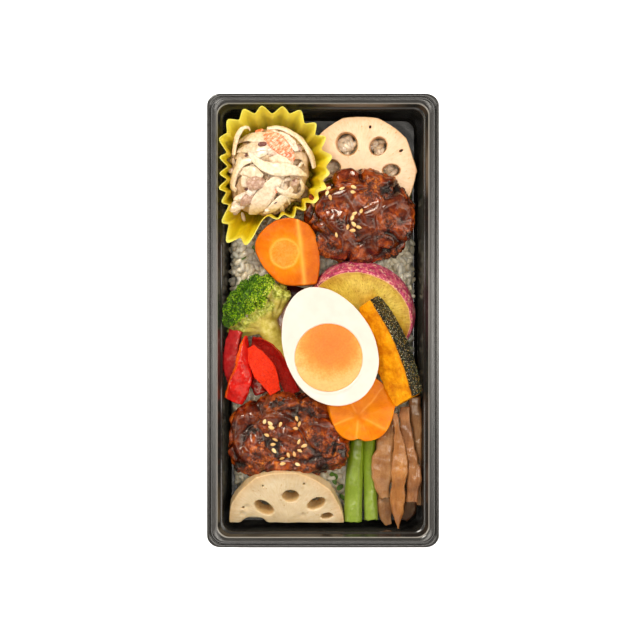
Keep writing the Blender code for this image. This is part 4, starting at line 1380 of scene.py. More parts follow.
def plate_section(thick, curl, steps=10):
    """The outline of a thin curved wall, bulging up, in shares of its half width."""
    upper = [
        (math.cos(math.pi * i / steps), curl * math.sin(math.pi * i / steps) + thick)
        for i in range(steps + 1)
    ]
    lower = [(-x, y - 2 * thick) for x, y in upper]
    return upper + lower


def pepper_finish(name, skin_tones, flesh_tones):
    finish = Finish(name, 0.24, 0.2, AMBER, coat=(0.7, 0.07, 1.4), inside=(0.15, (1.0, 0.15, 0.05), 1.4))
    cloud = finish.noise(3.0, 4, 0.6)
    skin = finish.ramp(cloud, (0.3, *skin_tones[0]), (0.7, *skin_tones[1]))
    grain = finish.noise(0.7, 3, 0.65)
    flesh = finish.ramp(grain, (0.3, *flesh_tones[0]), (0.6, *flesh_tones[1]), (0.8, *flesh_tones[2]))
    fleshy = finish.attribute("flesh")
    finish.colour(finish.mix(fleshy, skin, flesh))
    finish.rough(finish.ramp(fleshy, (0.3, 0.2), (0.9, 0.36)))
    finish.feed(finish.shader.inputs["Coat Roughness"], finish.ramp(fleshy, (0.3, 0.05), (0.9, 0.22)))
    finish.feed(finish.shader.inputs["Coat Weight"], finish.ramp(fleshy, (0.3, 0.7), (0.9, 0.2)))
    finish.bump(finish.maths("MULTIPLY", grain, fleshy), 0.5, 1.0)
    finish.bump(cloud, 0.35, 0.4)
    finish.coat_follows()
    return finish


def make_peppers():
    maroon = ((146, 18, 22), (184, 40, 40))
    red = ((168, 10, 10), (214, 24, 16))
    dark = ((110, 6, 6), (160, 14, 10))
    orange_red = ((188, 18, 0), (224, 38, 0), (242, 84, 14))
    golden = ((206, 40, 2), (232, 86, 10), (240, 150, 50))
    # (points along the strip, half widths, curl, skin, flesh, twist, and which way the flesh faces)
    strips = (
        (
            ((-41.2, -4.8, 31), (-43.0, -12.0, 31), (-43.8, -20, 31), (-42.6, -30.5, 28)),
            (3.6, 3.6, 3.8, 2.6), 0.2, maroon,
            maroon[:1] + ((150, 30, 30), (190, 70, 60)),
            (28, 30, 26, 20), (0.7, 0.0, -0.7),
        ),
        (
            (
                (-36.6, -7.4, 33), (-37.7, -14.6, 35), (-38.0, -22.0, 35.6), (-39.0, -28.6, 34.4),
                (-42.2, -37.8, 30),
            ),
            (1.8, 3.4, 4.2, 5.2, 5.0), 0.24, red, golden, (-64, -58, -34, 0, 10), (-0.8, 0.3, -0.35),
        ),
        (
            ((-34.6, -12.6, 34.5), (-30.2, -19.6, 36), (-26.2, -26.4, 36.2), (-22.4, -34.2, 35)),
            (2.6, 4.9, 5.0, 3.0), -0.12, red, orange_red, (5, 5, 0, 0), (0.0, 0.0, 1.0),
        ),
        (
            (
                (-33.6, -9.8, 30), (-27.2, -12.4, 31.4), (-21.8, -18.6, 32), (-18.0, -26.0, 32),
                (-14.4, -34.8, 31),
            ),
            (2.4, 3.0, 3.4, 3.8, 3.6), -0.3, red,
            dark + ((190, 30, 20),),
            (24, 26, 28, 24, 18), (-0.3, -0.3, 0.9),
        ),
        (
            ((-35.0, -19.0, 27), (-32.0, -26.0, 28), (-28.6, -34.4, 28.6)),
            (3.2, 4.2, 4.0), 0.15, dark, orange_red, (0, 0, 0), (0.0, 0.0, -1.0),
        ),
    )
    for number, (points, widths, curl, skin, flesh, twist, inner) in enumerate(strips, 1):
        strip = swept(f"pepper_{number}", points, widths, plate_section(0.32, curl), 0.95, twist)
        melt(strip, 0.34, 2)
        inner = Vector(inner).normalized()
        fleshy = []

        def cooked(point, normal, fleshy=fleshy, number=number, inner=inner):
            fleshy.append(ease(0.0, 0.3, normal.dot(inner) + 0.12 * bumps(point, 2.5, 2)))
            jagged = 0.5 * bumps(point, 2.4, number + 6) * (1 - abs(normal.z))
            soft = 0.4 * bumps(point, 5.0, number) + 0.12 * bumps(point, 1.8, 3)
            return point + normal * (soft + 0.07 * bumps(point, 0.9, 5) + jagged)

        shape(strip, cooked)
        mark(strip, flesh=fleshy)
        hand_over(
            strip,
            pepper_finish(f"pepper_{number}", skin, flesh),
            "red_pepper",
            f"pepper_strip_{number}",
            angle=70,
        )


def bean_finish():
    finish = Finish("green_bean", 0.34, 0.25, AMBER, coat=(0.5, 0.16), inside=(0.25, (0.6, 1.0, 0.2), 1.4))
    long = finish.turned((0, 0, 0), (0, 0, 0), (1, 6, 1))
    streak = finish.noise(1.6, 3, 0.5, at=long)
    flesh = finish.ramp(streak, (0.28, 96, 116, 14), (0.5, 108, 130, 20), (0.75, 124, 146, 34))
    _, y, _ = finish.parts_of(finish.where)
    lower = finish.span(y, -0.060, -0.096)
    flesh = finish.mix(lower, flesh, tone(150, 172, 74), 0.6)
    cloud = finish.ramp(finish.noise(9, 2), (0.3, 232, 234, 206), (0.7, 1.0))
    fine = finish.ramp(finish.noise(0.9, 3, 0.6), (0.3, 232, 236, 214), (0.6, 1.0))
    finish.colour(finish.times(finish.times(flesh, cloud), fine))
    finish.bump(finish.noise(0.9, 3, 0.6), 0.06, 0.4)
    return finish


BEAN_SEAMS = (16.6, 23.2)


def make_beans():
    beans = (
        (((16.4, -55.5, 25.5), (15.4, -68, 25), (14.6, -82, 24.8), (14.3, -96, 24.6)), (3.4, 4.1, 4.3, 4.4)),
        (
            ((22.2, -55.5, 25.2), (22.0, -68, 24.6), (22.6, -82, 24.4), (23.0, -95.0, 24.4)),
            (3.3, 3.0, 3.2, 3.3),
        ),
    )
    finish = bean_finish()
    for number, (points, widths) in enumerate(beans, 1):
        bean = swept(f"green_bean_{number}", points, widths, round_section(0.95, 0.92), 1.0)
        melt(bean, 0.36, 3)

        def podded(point, normal, number=number):
            # soft swellings over the seeds, a low seam on top and a ragged cut at the far end
            from_seam = point.x - BEAN_SEAMS[number - 1]
            seam = 0.16 * math.exp(-((from_seam / 0.9) ** 2)) if normal.z > 0.3 else 0.0
            ragged = 0.6 * bumps(point, 1.8, number) * max(0.0, -normal.y)
            return (
                point
                + normal * (seam + ragged + 0.22 * bumps(point, 6.5, number) + 0.05 * bumps(point, 1.5, 4))
            )

        shape(bean, podded)
        hand_over(bean, finish, "green_bean", f"bean_{number}", angle=70)


def mushroom_finish(name, dark, light):
    finish = Finish(name, 0.3, 0.3, AMBER, coat=(0.7, 0.14, 1.42), inside=(0.35, (1.0, 0.5, 0.2), 2.0))
    long = finish.turned((0, 0, 0), (0, 0, -4), (1, 9, 1))
    fibre = finish.noise(1.3, 3, 0.5, at=long)
    cloud = finish.noise(11, 3, 0.5)
    shade = finish.maths("MULTIPLY_ADD", fibre, 0.22, finish.maths("MULTIPLY", cloud, 0.8))
    flesh = finish.ramp(
        shade, (0.36, *dark), (0.54, *(0.5 * (a + b) for a, b in zip(dark, light))), (0.68, *light)
    )
    fine = finish.ramp(finish.noise(0.7, 3, 0.6), (0.3, 232, 222, 208), (0.6, 1.0))
    finish.colour(finish.times(flesh, fine))
    finish.bump(fibre, 0.07, 0.5)
    finish.bump(finish.noise(4.5, 2), 0.25, 0.4)
    finish.coat_follows()
    return finish


def make_mushrooms():
    # (points along the strip, half width at each, depth as a share of it, dark and light of its flesh, twist)
    strips = (
        (
            (
                (31.2, -44.0, 27), (30.6, -52.0, 28), (29.6, -60.0, 28.4), (28.2, -68.5, 28.6),
                (28.2, -76.6, 28), (29.6, -84.4, 26.6),
            ),
            (2.8, 3.5, 4.2, 5.0, 4.6, 2.8), 0.36, (134, 86, 50), (190, 142, 92), 10,
        ),
        (
            ((29.2, -77.0, 22.6), (29.2, -84.0, 22.8), (29.4, -91.0, 22.6), (31.4, -97.6, 22)),
            (3.0, 3.4, 3.5, 2.2), 0.5, (136, 92, 58), (182, 136, 94), 0,
        ),
        (
            (
                (34.2, -44.0, 32), (35.4, -54.4, 33), (36.4, -63.8, 33.4), (36.0, -73.3, 33.2),
                (35.3, -81.8, 32.4), (35.2, -90.3, 31.2), (35.8, -99.0, 30),
            ),
            (1.0, 2.0, 3.3, 3.9, 3.5, 3.0, 0.8), 0.42, (130, 78, 36), (174, 118, 64), -8,
        ),
        (
            (
                (38.8, -41.0, 30), (39.2, -51.4, 31), (40.9, -59.9, 31), (42.7, -68.4, 30.8),
                (42.9, -76.9, 30.4), (42.0, -86.2, 29),
            ),
            (3.0, 2.9, 2.7, 3.1, 3.5, 3.5), 0.5, (116, 72, 42), (172, 118, 74), 8,
        ),
        (
            ((43.0, -36.5, 26), (44.2, -46, 26), (45.2, -58, 26), (45.8, -72, 25.5), (46.0, -88, 25)),
            (3.8, 3.2, 2.4, 2.2, 1.9), 1.0, (116, 76, 46), (156, 114, 74), 0,
        ),
        (
            ((41.8, -80, 22.3), (41.2, -88, 22.3), (38.4, -95.4, 22.3)), (3.5, 3.8, 2.8), 0.5, (70, 42, 26),
            (116, 78, 52), 0,
        ),
    )
    for number, (points, widths, flat, dark, light, twist) in enumerate(strips, 1):
        strip = swept(
            f"mushroom_{number}", points, widths, round_section(flat, 0.62), 0.8, [twist] * len(points)
        )
        melt(strip, 0.34, 3)

        def fibrous(point, normal, number=number):
            groove = 0.16 * bumps(Vector((point.x, point.y / 10, point.z)), 1.8, number)
            edge = 0.8 * bumps(Vector((point.x / 3, point.y, point.z / 3)), 4, number + 3)
            dent = 0.45 * bumps(point, 6, number + 5)
            wrinkle = (
                0.45 * bumps(Vector((point.x, point.y / 3, point.z)), 1.5, 4) * ease(-60, -68, point.y)
                if number == 4
                else 0.0
            )
            point += normal * (groove + edge * abs(normal.x) + dent + wrinkle + 0.05 * bumps(point, 1.4, 2))
            point.x = min(point.x, TRAY_WIDTH / 2 - wall_inset(point.z) - GAP)
            return point

        shape(strip, fibrous)
        finish = mushroom_finish(f"mushroom_{number}", dark, light)
        hand_over(strip, finish, "mushroom", f"mushroom_strip_{number}", angle=70)


EGGPLANT_PLACE, EGGPLANT_TURN = (-18.0, -3.0, 23.4), (0, 0, -20)


def eggplant_finish():
    finish = Finish("eggplant", 0.25, 0.5, coat=(0.5, 0.1), inside=(0.15, (1.0, 0.4, 0.2), 1.2))
    here = finish.turned(EGGPLANT_PLACE, EGGPLANT_TURN)
    _, y, _ = finish.parts_of(here)
    cloud = finish.noise(3, 3, 0.6)
    flesh = finish.ramp(cloud, (0.3, 158, 100, 64), (0.7, 196, 142, 100))
    reach = finish.maths("ADD", finish.maths("ABSOLUTE", y), finish.maths("MULTIPLY", cloud, 0.004))
    skin = finish.span(reach, 0.0125, 0.0145)
    finish.colour(finish.mix(skin, flesh, tone(52, 16, 22)))
    finish.bump(cloud, 0.3, 0.6)
    return finish


def make_eggplant():
    piece = pillow("eggplant_slice", (9.6, 20.0, 3.6), 3, segments=48, rings=32)
    melt(piece, 0.45, 1)
    shape(
        piece, lambda point, normal: point + normal * (0.5 * bumps(point, 6, 5) + 0.15 * bumps(point, 2, 1))
    )
    settle(piece, EGGPLANT_PLACE, EGGPLANT_TURN)
    return hand_over(piece, eggplant_finish(), "eggplant", "eggplant_piece", angle=70)


# Broccoli

# The head lies on its side, its crown up and to the back left.
# Its florets, as (along the crown, behind its middle, height, radius)
BROCCOLI_HEADS = (
    (-12.5, -0.8, 30.5, 4.2), (-8.5, 2.6, 32.0, 4.4), (-8.0, -1.8, 33.6, 3.6), (-3.2, 4.4, 32.6, 4.6),
    (-3.0, -0.8, 35.4, 4.4), (2.6, 5.0, 32.2, 4.6), (3.0, 0.6, 36.0, 4.8), (8.4, 4.2, 32.2, 4.4),
    (8.6, -0.4, 35.0, 4.6), (12.2, 1.0, 31.2, 4.0), (4.0, -3.6, 35.2, 3.6), (-1.6, -3.0, 35.8, 3.2),
)
BROCCOLI_MIDDLE = Vector((-34.6, 8.6, 0))
BROCCOLI_ALONG, BROCCOLI_BACK = Vector((0.76, 0.65, 0)), Vector((-0.65, 0.76, 0))
BROCCOLI_FACING = Vector((-0.42, 0.49, 0.77))


def in_crown(along, back, height):
    return BROCCOLI_MIDDLE + BROCCOLI_ALONG * along + BROCCOLI_BACK * back + Vector((0, 0, height))


def stalk_finish():
    finish = Finish(
        "broccoli_stalk", 0.34, 0.3, AMBER, coat=(0.3, 0.15), inside=(0.35, (0.9, 1.0, 0.25), 1.6)
    )
    cloud = finish.noise(3.4, 4, 0.6)
    pale = finish.ramp(cloud, (0.28, 148, 128, 36), (0.5, 188, 172, 78), (0.72, 220, 208, 130))
    tips = finish.ramp(
        finish.noise(1.1, 4, 0.65), (0.34, 112, 122, 30), (0.52, 182, 188, 76), (0.68, 226, 228, 140)
    )
    pale = finish.mix(finish.attribute("tip"), pale, tips)
    green = finish.ramp(finish.noise(1.4, 3, 0.6), (0.3, 30, 50, 6), (0.7, 80, 104, 16))
    finish.colour(finish.mix(finish.attribute("crown"), pale, green))
    finish.bump(finish.noise(1.0, 4, 0.6), 0.12, 0.6)
    return finish


def bud_finish():
    finish = Finish("broccoli_bud", 0.32, 0.3, AMBER, coat=(0.3, 0.1), inside=(0.15, (0.7, 1.0, 0.2), 0.5))
    here = finish.from_point(finish.where, BROCCOLI_MIDDLE * MM)
    back = finish.along(here, BROCCOLI_BACK)
    along = finish.along(here, BROCCOLI_ALONG)
    # yellower towards the stems and the far end of the crown
    side = finish.maths("SUBTRACT", finish.maths("MULTIPLY", along, 0.35), back)
    edge = finish.span(side, -0.004, 0.008)
    own = finish.maths(
        "MULTIPLY_ADD", finish.attribute("tint"), 0.6, finish.maths("MULTIPLY_ADD", edge, 0.5, -0.1)
    )
    own = finish.maths("ADD", own, finish.swing(finish.noise(3.0, 3), 0.6))
    tips = finish.ramp(
        own, (0.0, 34, 78, 4), (0.3, 76, 124, 6), (0.5, 128, 170, 16), (0.7, 186, 208, 46),
        (0.95, 232, 236, 116),
    )
    # painted shade: each bud darkens towards its foot, low among its neighbours
    shaded_bases = finish.times(tips, tone(40, 58, 30))
    finish.colour(finish.mix(finish.ramp(finish.attribute("rise"), (0.35, 0.0), (0.9, 1.0)), shaded_bases, tips))
    finish.bump(finish.noise(0.4, 2), 0.06, 0.6)
    return finish


def join(pieces, name):
    alone(pieces[0])
    for piece in pieces:
        piece.select_set(True)
    bpy.ops.object.join()
    return fresh(name)


def make_broccoli():
    neck = Vector((-25.8, -2.5, 29.0))
    trunks = [
        swept(
            "stalk",
            ((-28.5, 2.5, 30), (-25.4, -4.5, 29.4), (-22.5, -10, 28.6), (-18.8, -15.5, 28), (-15, -20.5, 28)),
            (5.2, 5.2, 4.4, 3.9, 3.9),
            round_section(0.9, 1.0),
            1.0,
        )
    ]
    # stems fanning from the neck to the underside of the crown, as (along, behind, height, radius)
    stems = (
        (-15.0, -5.0, 27.5, 2.3), (-11.5, -6.6, 29.5, 2.5), (-7.5, -5.4, 32.4, 2.4), (-3.2, -5.8, 33.6, 2.3),
        (1.8, -6.2, 34.6, 2.5), (5.4, -7.2, 34.0, 2.2), (9.4, -4.6, 30.2, 2.4), (13.0, -5.6, 32.4, 2.8),
        (15.2, -8.2, 30.2, 2.6), (16.0, -4.4, 28.4, 2.4), (12.6, -2.0, 31.6, 3.0), (-12.4, -9.0, 26.6, 2.0),
    )
    ends = [(in_crown(along, back, height), radius) for along, back, height, radius in stems]
    for end, radius in ends:
        middle = (neck + end) / 2 + Vector((0.3, -0.6, 0.9))
        trunks.append(
            swept(
                f"branch_{len(trunks)}", (neck, middle, end), (2.6, 1.9, radius * 0.9),
                round_section(1.0, 1.0), 1.0,
            )
        )
        bpy.ops.mesh.primitive_ico_sphere_add(subdivisions=3, radius=radius)
        tip = fresh(f"tip_{len(trunks)}")
        shape(
            tip,
            lambda point, normal, end=end: point * MM + end + (point * MM).normalized() * 0.7 * bumps(
                point * MM + end, 1.8, 3
            ),
        )
        trunks.append(tip)
    places = []
    draw = random.Random(3)
    hearts = [(in_crown(along, back, height), radius) for along, back, height, radius in BROCCOLI_HEADS]
    for heart, radius in hearts:
        bpy.ops.mesh.primitive_ico_sphere_add(subdivisions=4, radius=radius - 0.9)
        ball = fresh(f"crown_{len(trunks)}")
        shape(ball, lambda point, normal, heart=heart: point * MM + heart)
        trunks.append(ball)
        count = int(26 * radius**2)
        for i in range(count):
            level = 1 - 2 * (i + 0.5) / count
            spin = i * math.pi * (3 - math.sqrt(5))
            flat = math.sqrt(max(0.0, 1 - level * level))
            way = Vector((flat * math.cos(spin), flat * math.sin(spin), level))
            ragged = way.dot(BROCCOLI_FACING) + 0.14 * bumps(heart + way * radius, 1.8, 7)
            point = (
                heart
                + way * (radius - 0.2 + 1.1 * bumps(heart + way * radius, 2.2, 5) + draw.uniform(-0.25, 0.25))
            )
            inside = any((point - other).length < size - 0.9 for other, size in hearts if other != heart)
            if ragged > 0.26 and not inside:
                lean = Vector((draw.gauss(0, 0.25), draw.gauss(0, 0.25), draw.gauss(0, 0.25)))
                places.append(lying(point * MM, way + lean, draw.uniform(0, 6), draw.uniform(0.65, 1.1)))
    stalk = join(trunks, "broccoli_stalks")
    melt(stalk, 0.42, 2)
    crown, tips = [], []

    def ridged(point, normal):
        covered = any(
            (point - heart).length < radius + 1.0 and (point - heart).normalized().dot(BROCCOLI_FACING) > 0.3
            for heart, radius in hearts
        )
        tip = 1 - min(ease(radius - 0.3, radius + 1.6, (point - end).length) for end, radius in ends)
        crown.append(float(covered))
        tips.append(tip)
        budding = tip * (0.9 * (0.5 - lumps(point, 2.4, 4)[0]) + 0.35 * bumps(point, 0.9, 6))
        return point + normal * (0.3 * bumps(point, 3.4, 3) + budding)

    shape(stalk, ridged)
    mark(stalk, crown=crown, tip=tips)
    hand_over(stalk, stalk_finish(), "broccoli", "broccoli", angle=80)
    bpy.ops.mesh.primitive_uv_sphere_add(segments=6, ring_count=5, radius=0.52 * MM)
    bud = fresh("bud")
    shape(bud, lambda point, normal: point + Vector((0, 0, 0.3)) * ease(0.2, 1, normal.z))
    buds = scatter("broccoli_buds", bud, places, 4)
    return hand_over(buds, bud_finish(), "broccoli", angle=80)


# Salad

SALAD_MIDDLE, SALAD_HALF, SALAD_EDGE, SALAD_TOP = (-24.0, 70.3), (21.0, 22.4), 24.0, 41.2


def salad_spread(x, y):
    """How far the mound spreads that way: pulled in at the front right, out at the front left."""
    way = math.degrees(math.atan2(y - SALAD_MIDDLE[1], x - SALAD_MIDDLE[0]))

    def bell(middle, width):
        return math.exp(-((((way - middle + 180) % 360 - 180) / width) ** 2))

    return 1 - 0.12 * bell(-10, 40) - 0.17 * bell(-52, 28) + 0.14 * bell(-140, 22)


def salad_finish(name, *tones, grain=3.0):
    """Dressed salad: a row of tones chosen by each piece's tint, clouded, with pepper dust."""
    finish = Finish(name, 0.3, 0.4, coat=(0.35, 0.15), inside=(0.4, (1.0, 0.88, 0.7), 1.4))
    stops = [(number / (len(tones) - 1), *each) for number, each in enumerate(tones)]
    clouded = finish.maths(
        "ADD", finish.attribute("tint"), finish.swing(finish.noise(grain, 4, 0.6), 2.1 / grain)
    )
    own = finish.ramp(clouded, *stops)
    cloud = finish.ramp(finish.noise(1.4, 3, 0.6), (0.3, 226, 214, 196), (0.6, 1.0))
    pepper = finish.ramp(finish.noise(0.55, 2, 0.5), (0.24, 150, 118, 90), (0.30, 1.0))
    finish.colour(finish.times(finish.times(own, cloud), pepper))
    finish.rough(finish.ramp(finish.noise(2.2, 2), (0.3, 0.22), (0.7, 0.42)))
    finish.bump(finish.noise(1.1, 3, 0.6), 0.36 / grain, 0.7)
    return finish


def crab_finish():
    """Pulled crab meat: pale flesh streaked with its orange outside."""
    finish = Finish("salad_crab", 0.3, 0.35, coat=(0.35, 0.15), inside=(0.35, (1.0, 0.6, 0.4), 1.2))
    along = finish.turned((-18, 82, 44), (0, 0, -48), (0.3, 1, 1))
    streak = finish.noise(2.2, 4, 0.65, at=along)
    own = finish.maths("ADD", streak, finish.maths("MULTIPLY_ADD", finish.attribute("tint"), 0.5, -0.22))
    finish.colour(
        finish.ramp(
            own, (0.36, 236, 110, 62), (0.44, 244, 150, 108), (0.52, 244, 190, 160), (0.62, 244, 216, 194)
        )
    )
    finish.bump(streak, 0.35, 0.8)
    finish.bump(finish.noise(0.9, 3, 0.6), 0.12, 0.6)
    return finish


def tinted(piece, tint):
    own = piece.data.attributes.get("tint") or piece.data.attributes.new("tint", "FLOAT", "POINT")
    own.data.foreach_set("value", [tint] * len(piece.data.vertices))
    return piece


def mound_height(x, y):
    """Top of the dressed salad under its loose strands."""
    out = math.hypot(
        (x - SALAD_MIDDLE[0]) / SALAD_HALF[0], (y - SALAD_MIDDLE[1]) / SALAD_HALF[1]
    ) / salad_spread(x, y)
    return (
        SALAD_EDGE
        + (SALAD_TOP - SALAD_EDGE - 2.0) * math.sqrt(max(0.0, 1 - min(1.0, out) ** 3.0))
        + 1.2 * bumps(Vector((x, y, 9)), 7, 6)
    )


def make_salad_core():
    bpy.ops.mesh.primitive_uv_sphere_add(segments=64, ring_count=32, radius=1)
    core = fresh("salad_core")

    def mound(point, normal):
        way = point * MM
        spread = 0.93 * salad_spread(SALAD_MIDDLE[0] + way.x, SALAD_MIDDLE[1] + way.y)
        x = SALAD_MIDDLE[0] + way.x * SALAD_HALF[0] * spread
        y = SALAD_MIDDLE[1] + way.y * SALAD_HALF[1] * spread
        if way.z > 0:
            return Vector((x, y, mound_height(x, y) - 1.6))
        return Vector((x + 2.5 * way.x * way.z, y + 2.5 * way.y * way.z, SALAD_EDGE + way.z * 8.4))

    shape(core, mound)
    melt(core, 0.6, 2)
    shape(
        core,
        lambda point, normal: point + normal * (
            0.9 * (0.5 - lumps(point, 5.0, 2)[0]) + 0.5 * bumps(point, 2.0, 3)
        ),
    )
    finish = salad_finish("salad_core", (178, 146, 110), (204, 174, 140), (222, 198, 168))
    return hand_over(tinted(core, 0.4), finish, "salad", "salad", angle=80)


def strand(name, points, widths, flat=0.5, tilt=0.0, tint=0.5, fray=0.12):
    """A strip laid over the mound along points (across, along, lift), each with its half width."""
    path, tilts = [], []
    for number, ((x, y, lift), width) in enumerate(zip(points, widths)):
        before, after = points[max(0, number - 1)], points[min(len(points) - 1, number + 1)]
        ahead = Vector((after[0] - before[0], after[1] - before[1])).normalized()
        left = Vector((-ahead.y, ahead.x)) * max(width, 1.0)
        slope = math.atan2(
            mound_height(x + left.x, y + left.y) - mound_height(x - left.x, y - left.y), 2 * left.length
        )
        path.append((x, y, mound_height(x, y) + lift))
        tilts.append(math.degrees(max(-0.9, min(0.9, slope))) + tilt)
    piece = swept(name, path, widths, round_section(flat, 0.7, 12), 0.9, tilts, 6)
    shape(
        piece,
        lambda point, normal: point + normal * fray * (bumps(point, 1.6, 4) + 0.8 * bumps(point, 3.5, 9)),
    )
    return tinted(piece, tint)


def make_salad_strands():
    # the strips on top, as (points across, along and lift, half widths, thickness share, tint)
    chosen = (
        (
            (
                (-42.4, 78.5, 4.0), (-41.4, 84.4, 9.5), (-39.6, 89.0, 11.0), (-37.6, 91.2, 11.5),
                (-35.6, 91.4, 10.5), (-34.6, 90.2, 8.0),
            ),
            (1.3, 1.3, 1.2, 0.9, 0.7, 0.4), 0.5, 0.8,
        ),
        (
            (
                (-26.5, 91.0, 2.5), (-21.1, 91.3, 4.0), (-16.0, 89.3, 5.0), (-11.0, 85.9, 6.0),
                (-7.4, 81.0, 7.5), (-5.2, 76.7, 9.0), (-4.2, 72.6, 8.0),
            ),
            (1.2, 1.4, 1.5, 1.5, 1.6, 1.7, 1.4), 0.5, 0.85,
        ),
        (
            (
                (-35.6, 83.0, 1.2), (-33.8, 78.1, 1.8), (-30.2, 74.2, 2.4), (-25.4, 71.9, 2.8),
                (-19.8, 71.2, 2.9), (-14.7, 71.0, 2.7), (-10.6, 69.9, 2.3), (-7.6, 68.8, 1.8),
            ),
            (1.0, 1.4, 2.0, 2.8, 3.3, 2.7, 1.7, 0.6), 0.26, 0.95,
        ),
        (
            (
                (-32.8, 76.0, 1.4), (-37.6, 74.6, 1.5), (-40.6, 71.4, 1.4), (-42.3, 67.2, 1.1),
                (-42.8, 63.6, 0.8), (-41.2, 61.6, 0.6),
            ),
            (1.3, 1.8, 2.0, 2.0, 1.9, 1.3), 0.36, 0.9,
        ),
        (((-45.0, 77.2, 0.0), (-42.4, 75.4, 0.4)), (1.7, 1.6), 0.4, 0.8),
        (
            (
                (-20.8, 67.0, 1.2), (-24.2, 63.2, 1.6), (-27.8, 58.6, 1.6), (-31.0, 53.8, 1.0),
                (-33.2, 50.6, 0.2),
            ),
            (2.6, 3.6, 4.2, 4.0, 2.6), 0.2, 0.65,
        ),
        (
            ((-14.6, 62.6, 0.7), (-18.4, 58.2, 1.2), (-22.6, 54.2, 1.1), (-27.0, 50.6, 0.4)),
            (1.8, 2.6, 2.8, 2.0), 0.26, 0.8,
        ),
        (
            (
                (-23.2, 63.0, 1.9), (-19.2, 60.7, 2.1), (-14.2, 59.0, 2.0), (-10.9, 60.2, 1.8),
                (-9.7, 63.4, 1.6), (-11.0, 66.6, 1.2),
            ),
            (0.9, 1.2, 1.4, 1.4, 1.3, 1.0), 0.5, 0.9,
        ),
        (
            ((-40.0, 85.5, 0.7), (-34.0, 87.0, 1.0), (-28.0, 86.0, 1.3), (-23.0, 82.6, 1.6)),
            (1.8, 3.2, 3.6, 2.0), 0.22, 0.7,
        ),
        (
            ((-40.5, 80.5, 0.6), (-34.0, 81.6, 1.1), (-27.5, 81.4, 1.5), (-21.5, 79.2, 1.8)),
            (1.6, 2.8, 3.0, 1.6), 0.24, 0.55,
        ),
        (((-36.0, 76.8, 1.0), (-30.0, 78.4, 1.4), (-24.6, 80.6, 1.9)), (1.2, 1.9, 1.0), 0.36, 0.85),
        (((-25.0, 75.4, 1.3), (-19.0, 77.0, 1.7), (-14.0, 74.8, 1.6)), (1.8, 2.9, 1.8), 0.26, 0.9),
        (((-14.6, 78.0, 1.0), (-9.6, 77.6, 1.2), (-8.0, 73.6, 1.0)), (2.2, 2.4, 1.4), 0.26, 0.2),
        (((-38.0, 70.6, 1.0), (-33.0, 70.0, 1.6), (-28.6, 67.6, 1.6)), (2.2, 2.9, 1.6), 0.26, 0.6),
    )
    pieces = []
    for points, widths, flat, tint in chosen:
        pieces.append(strand(f"shred_{len(pieces)}", points, widths, flat, 0.0, tint))
    draw = random.Random(23)
    for number in range(46):
        wide = number % 2 == 0
        way, out = draw.uniform(0, math.tau), 0.72 * math.sqrt(draw.random())
        x = SALAD_MIDDLE[0] + out * SALAD_HALF[0] * math.cos(way)
        y = SALAD_MIDDLE[1] + out * SALAD_HALF[1] * math.sin(way)
        heading, bend = draw.uniform(0, math.tau), draw.uniform(-0.45, 0.45)
        points, base = [], draw.uniform(-1.0, 0.4)
        for step in range(4):
            points.append((x, y, base + 0.5 * math.sin(step * 1.6 + number)))
            x, y = x + 3.0 * math.cos(heading), y + 3.0 * math.sin(heading)
            from_middle = Vector(
                ((x - SALAD_MIDDLE[0]) / SALAD_HALF[0], (y - SALAD_MIDDLE[1]) / SALAD_HALF[1])
            )
            if from_middle.length > 0.88 * salad_spread(x, y):
                # turn back towards the middle of the mound
                home = math.atan2(SALAD_MIDDLE[1] - y, SALAD_MIDDLE[0] - x)
                heading += 0.9 * math.copysign(1, math.sin(home - heading))
            heading += bend
        size = draw.uniform(1.6, 2.8) if wide else draw.uniform(0.7, 1.1)
        widths = (size * 0.7, size, size, size * 0.6)
        pieces.append(
            strand(
                f"shred_{len(pieces)}", points, widths, 0.26 if wide else 0.6, draw.uniform(-25, 25),
                draw.uniform(0.1, 0.9),
            )
        )
    shreds = join(pieces, "salad_shreds")
    finish = salad_finish("salad_shreds", (198, 166, 130), (220, 194, 162), (232, 212, 186), (240, 221, 194))
    return hand_over(shreds, finish, "salad", angle=80)


def flakes(name, spots, finish, seed):
    """Torn lumps at spots (across, along, lift over the mound, half sizes, heading)."""
    pieces = []
    for number, (x, y, lift, half, heading) in enumerate(spots):
        bpy.ops.mesh.primitive_ico_sphere_add(subdivisions=5, radius=1)
        lump = fresh(f"{name}_{number}")

        def torn(point, normal, half=half, number=number):
            way = point * MM
            grown = Vector(part * length for part, length in zip(way, half))
            fibre = bumps(Vector((grown.x / 3.5, grown.y, grown.z)), 1.1, number + seed)
            near, _ = lumps(Vector((grown.x / 2, grown.y, grown.z)), 2.4, number + seed)
            return grown + way * (0.8 * bumps(grown, 3.0, number + seed) + 0.6 * (0.5 - near) + 0.3 * fibre)

        shape(lump, torn)
        settle(
            lump,
            (x, y, mound_height(x, y) + lift),
            (8 * math.sin(number), 8 * math.cos(2 * number), heading),
        )
        pieces.append(tinted(lump, 0.5 + 0.45 * math.sin(2.4 * number + seed)))
    whole = join(pieces, name)
    return hand_over(whole, finish, "salad", angle=80)


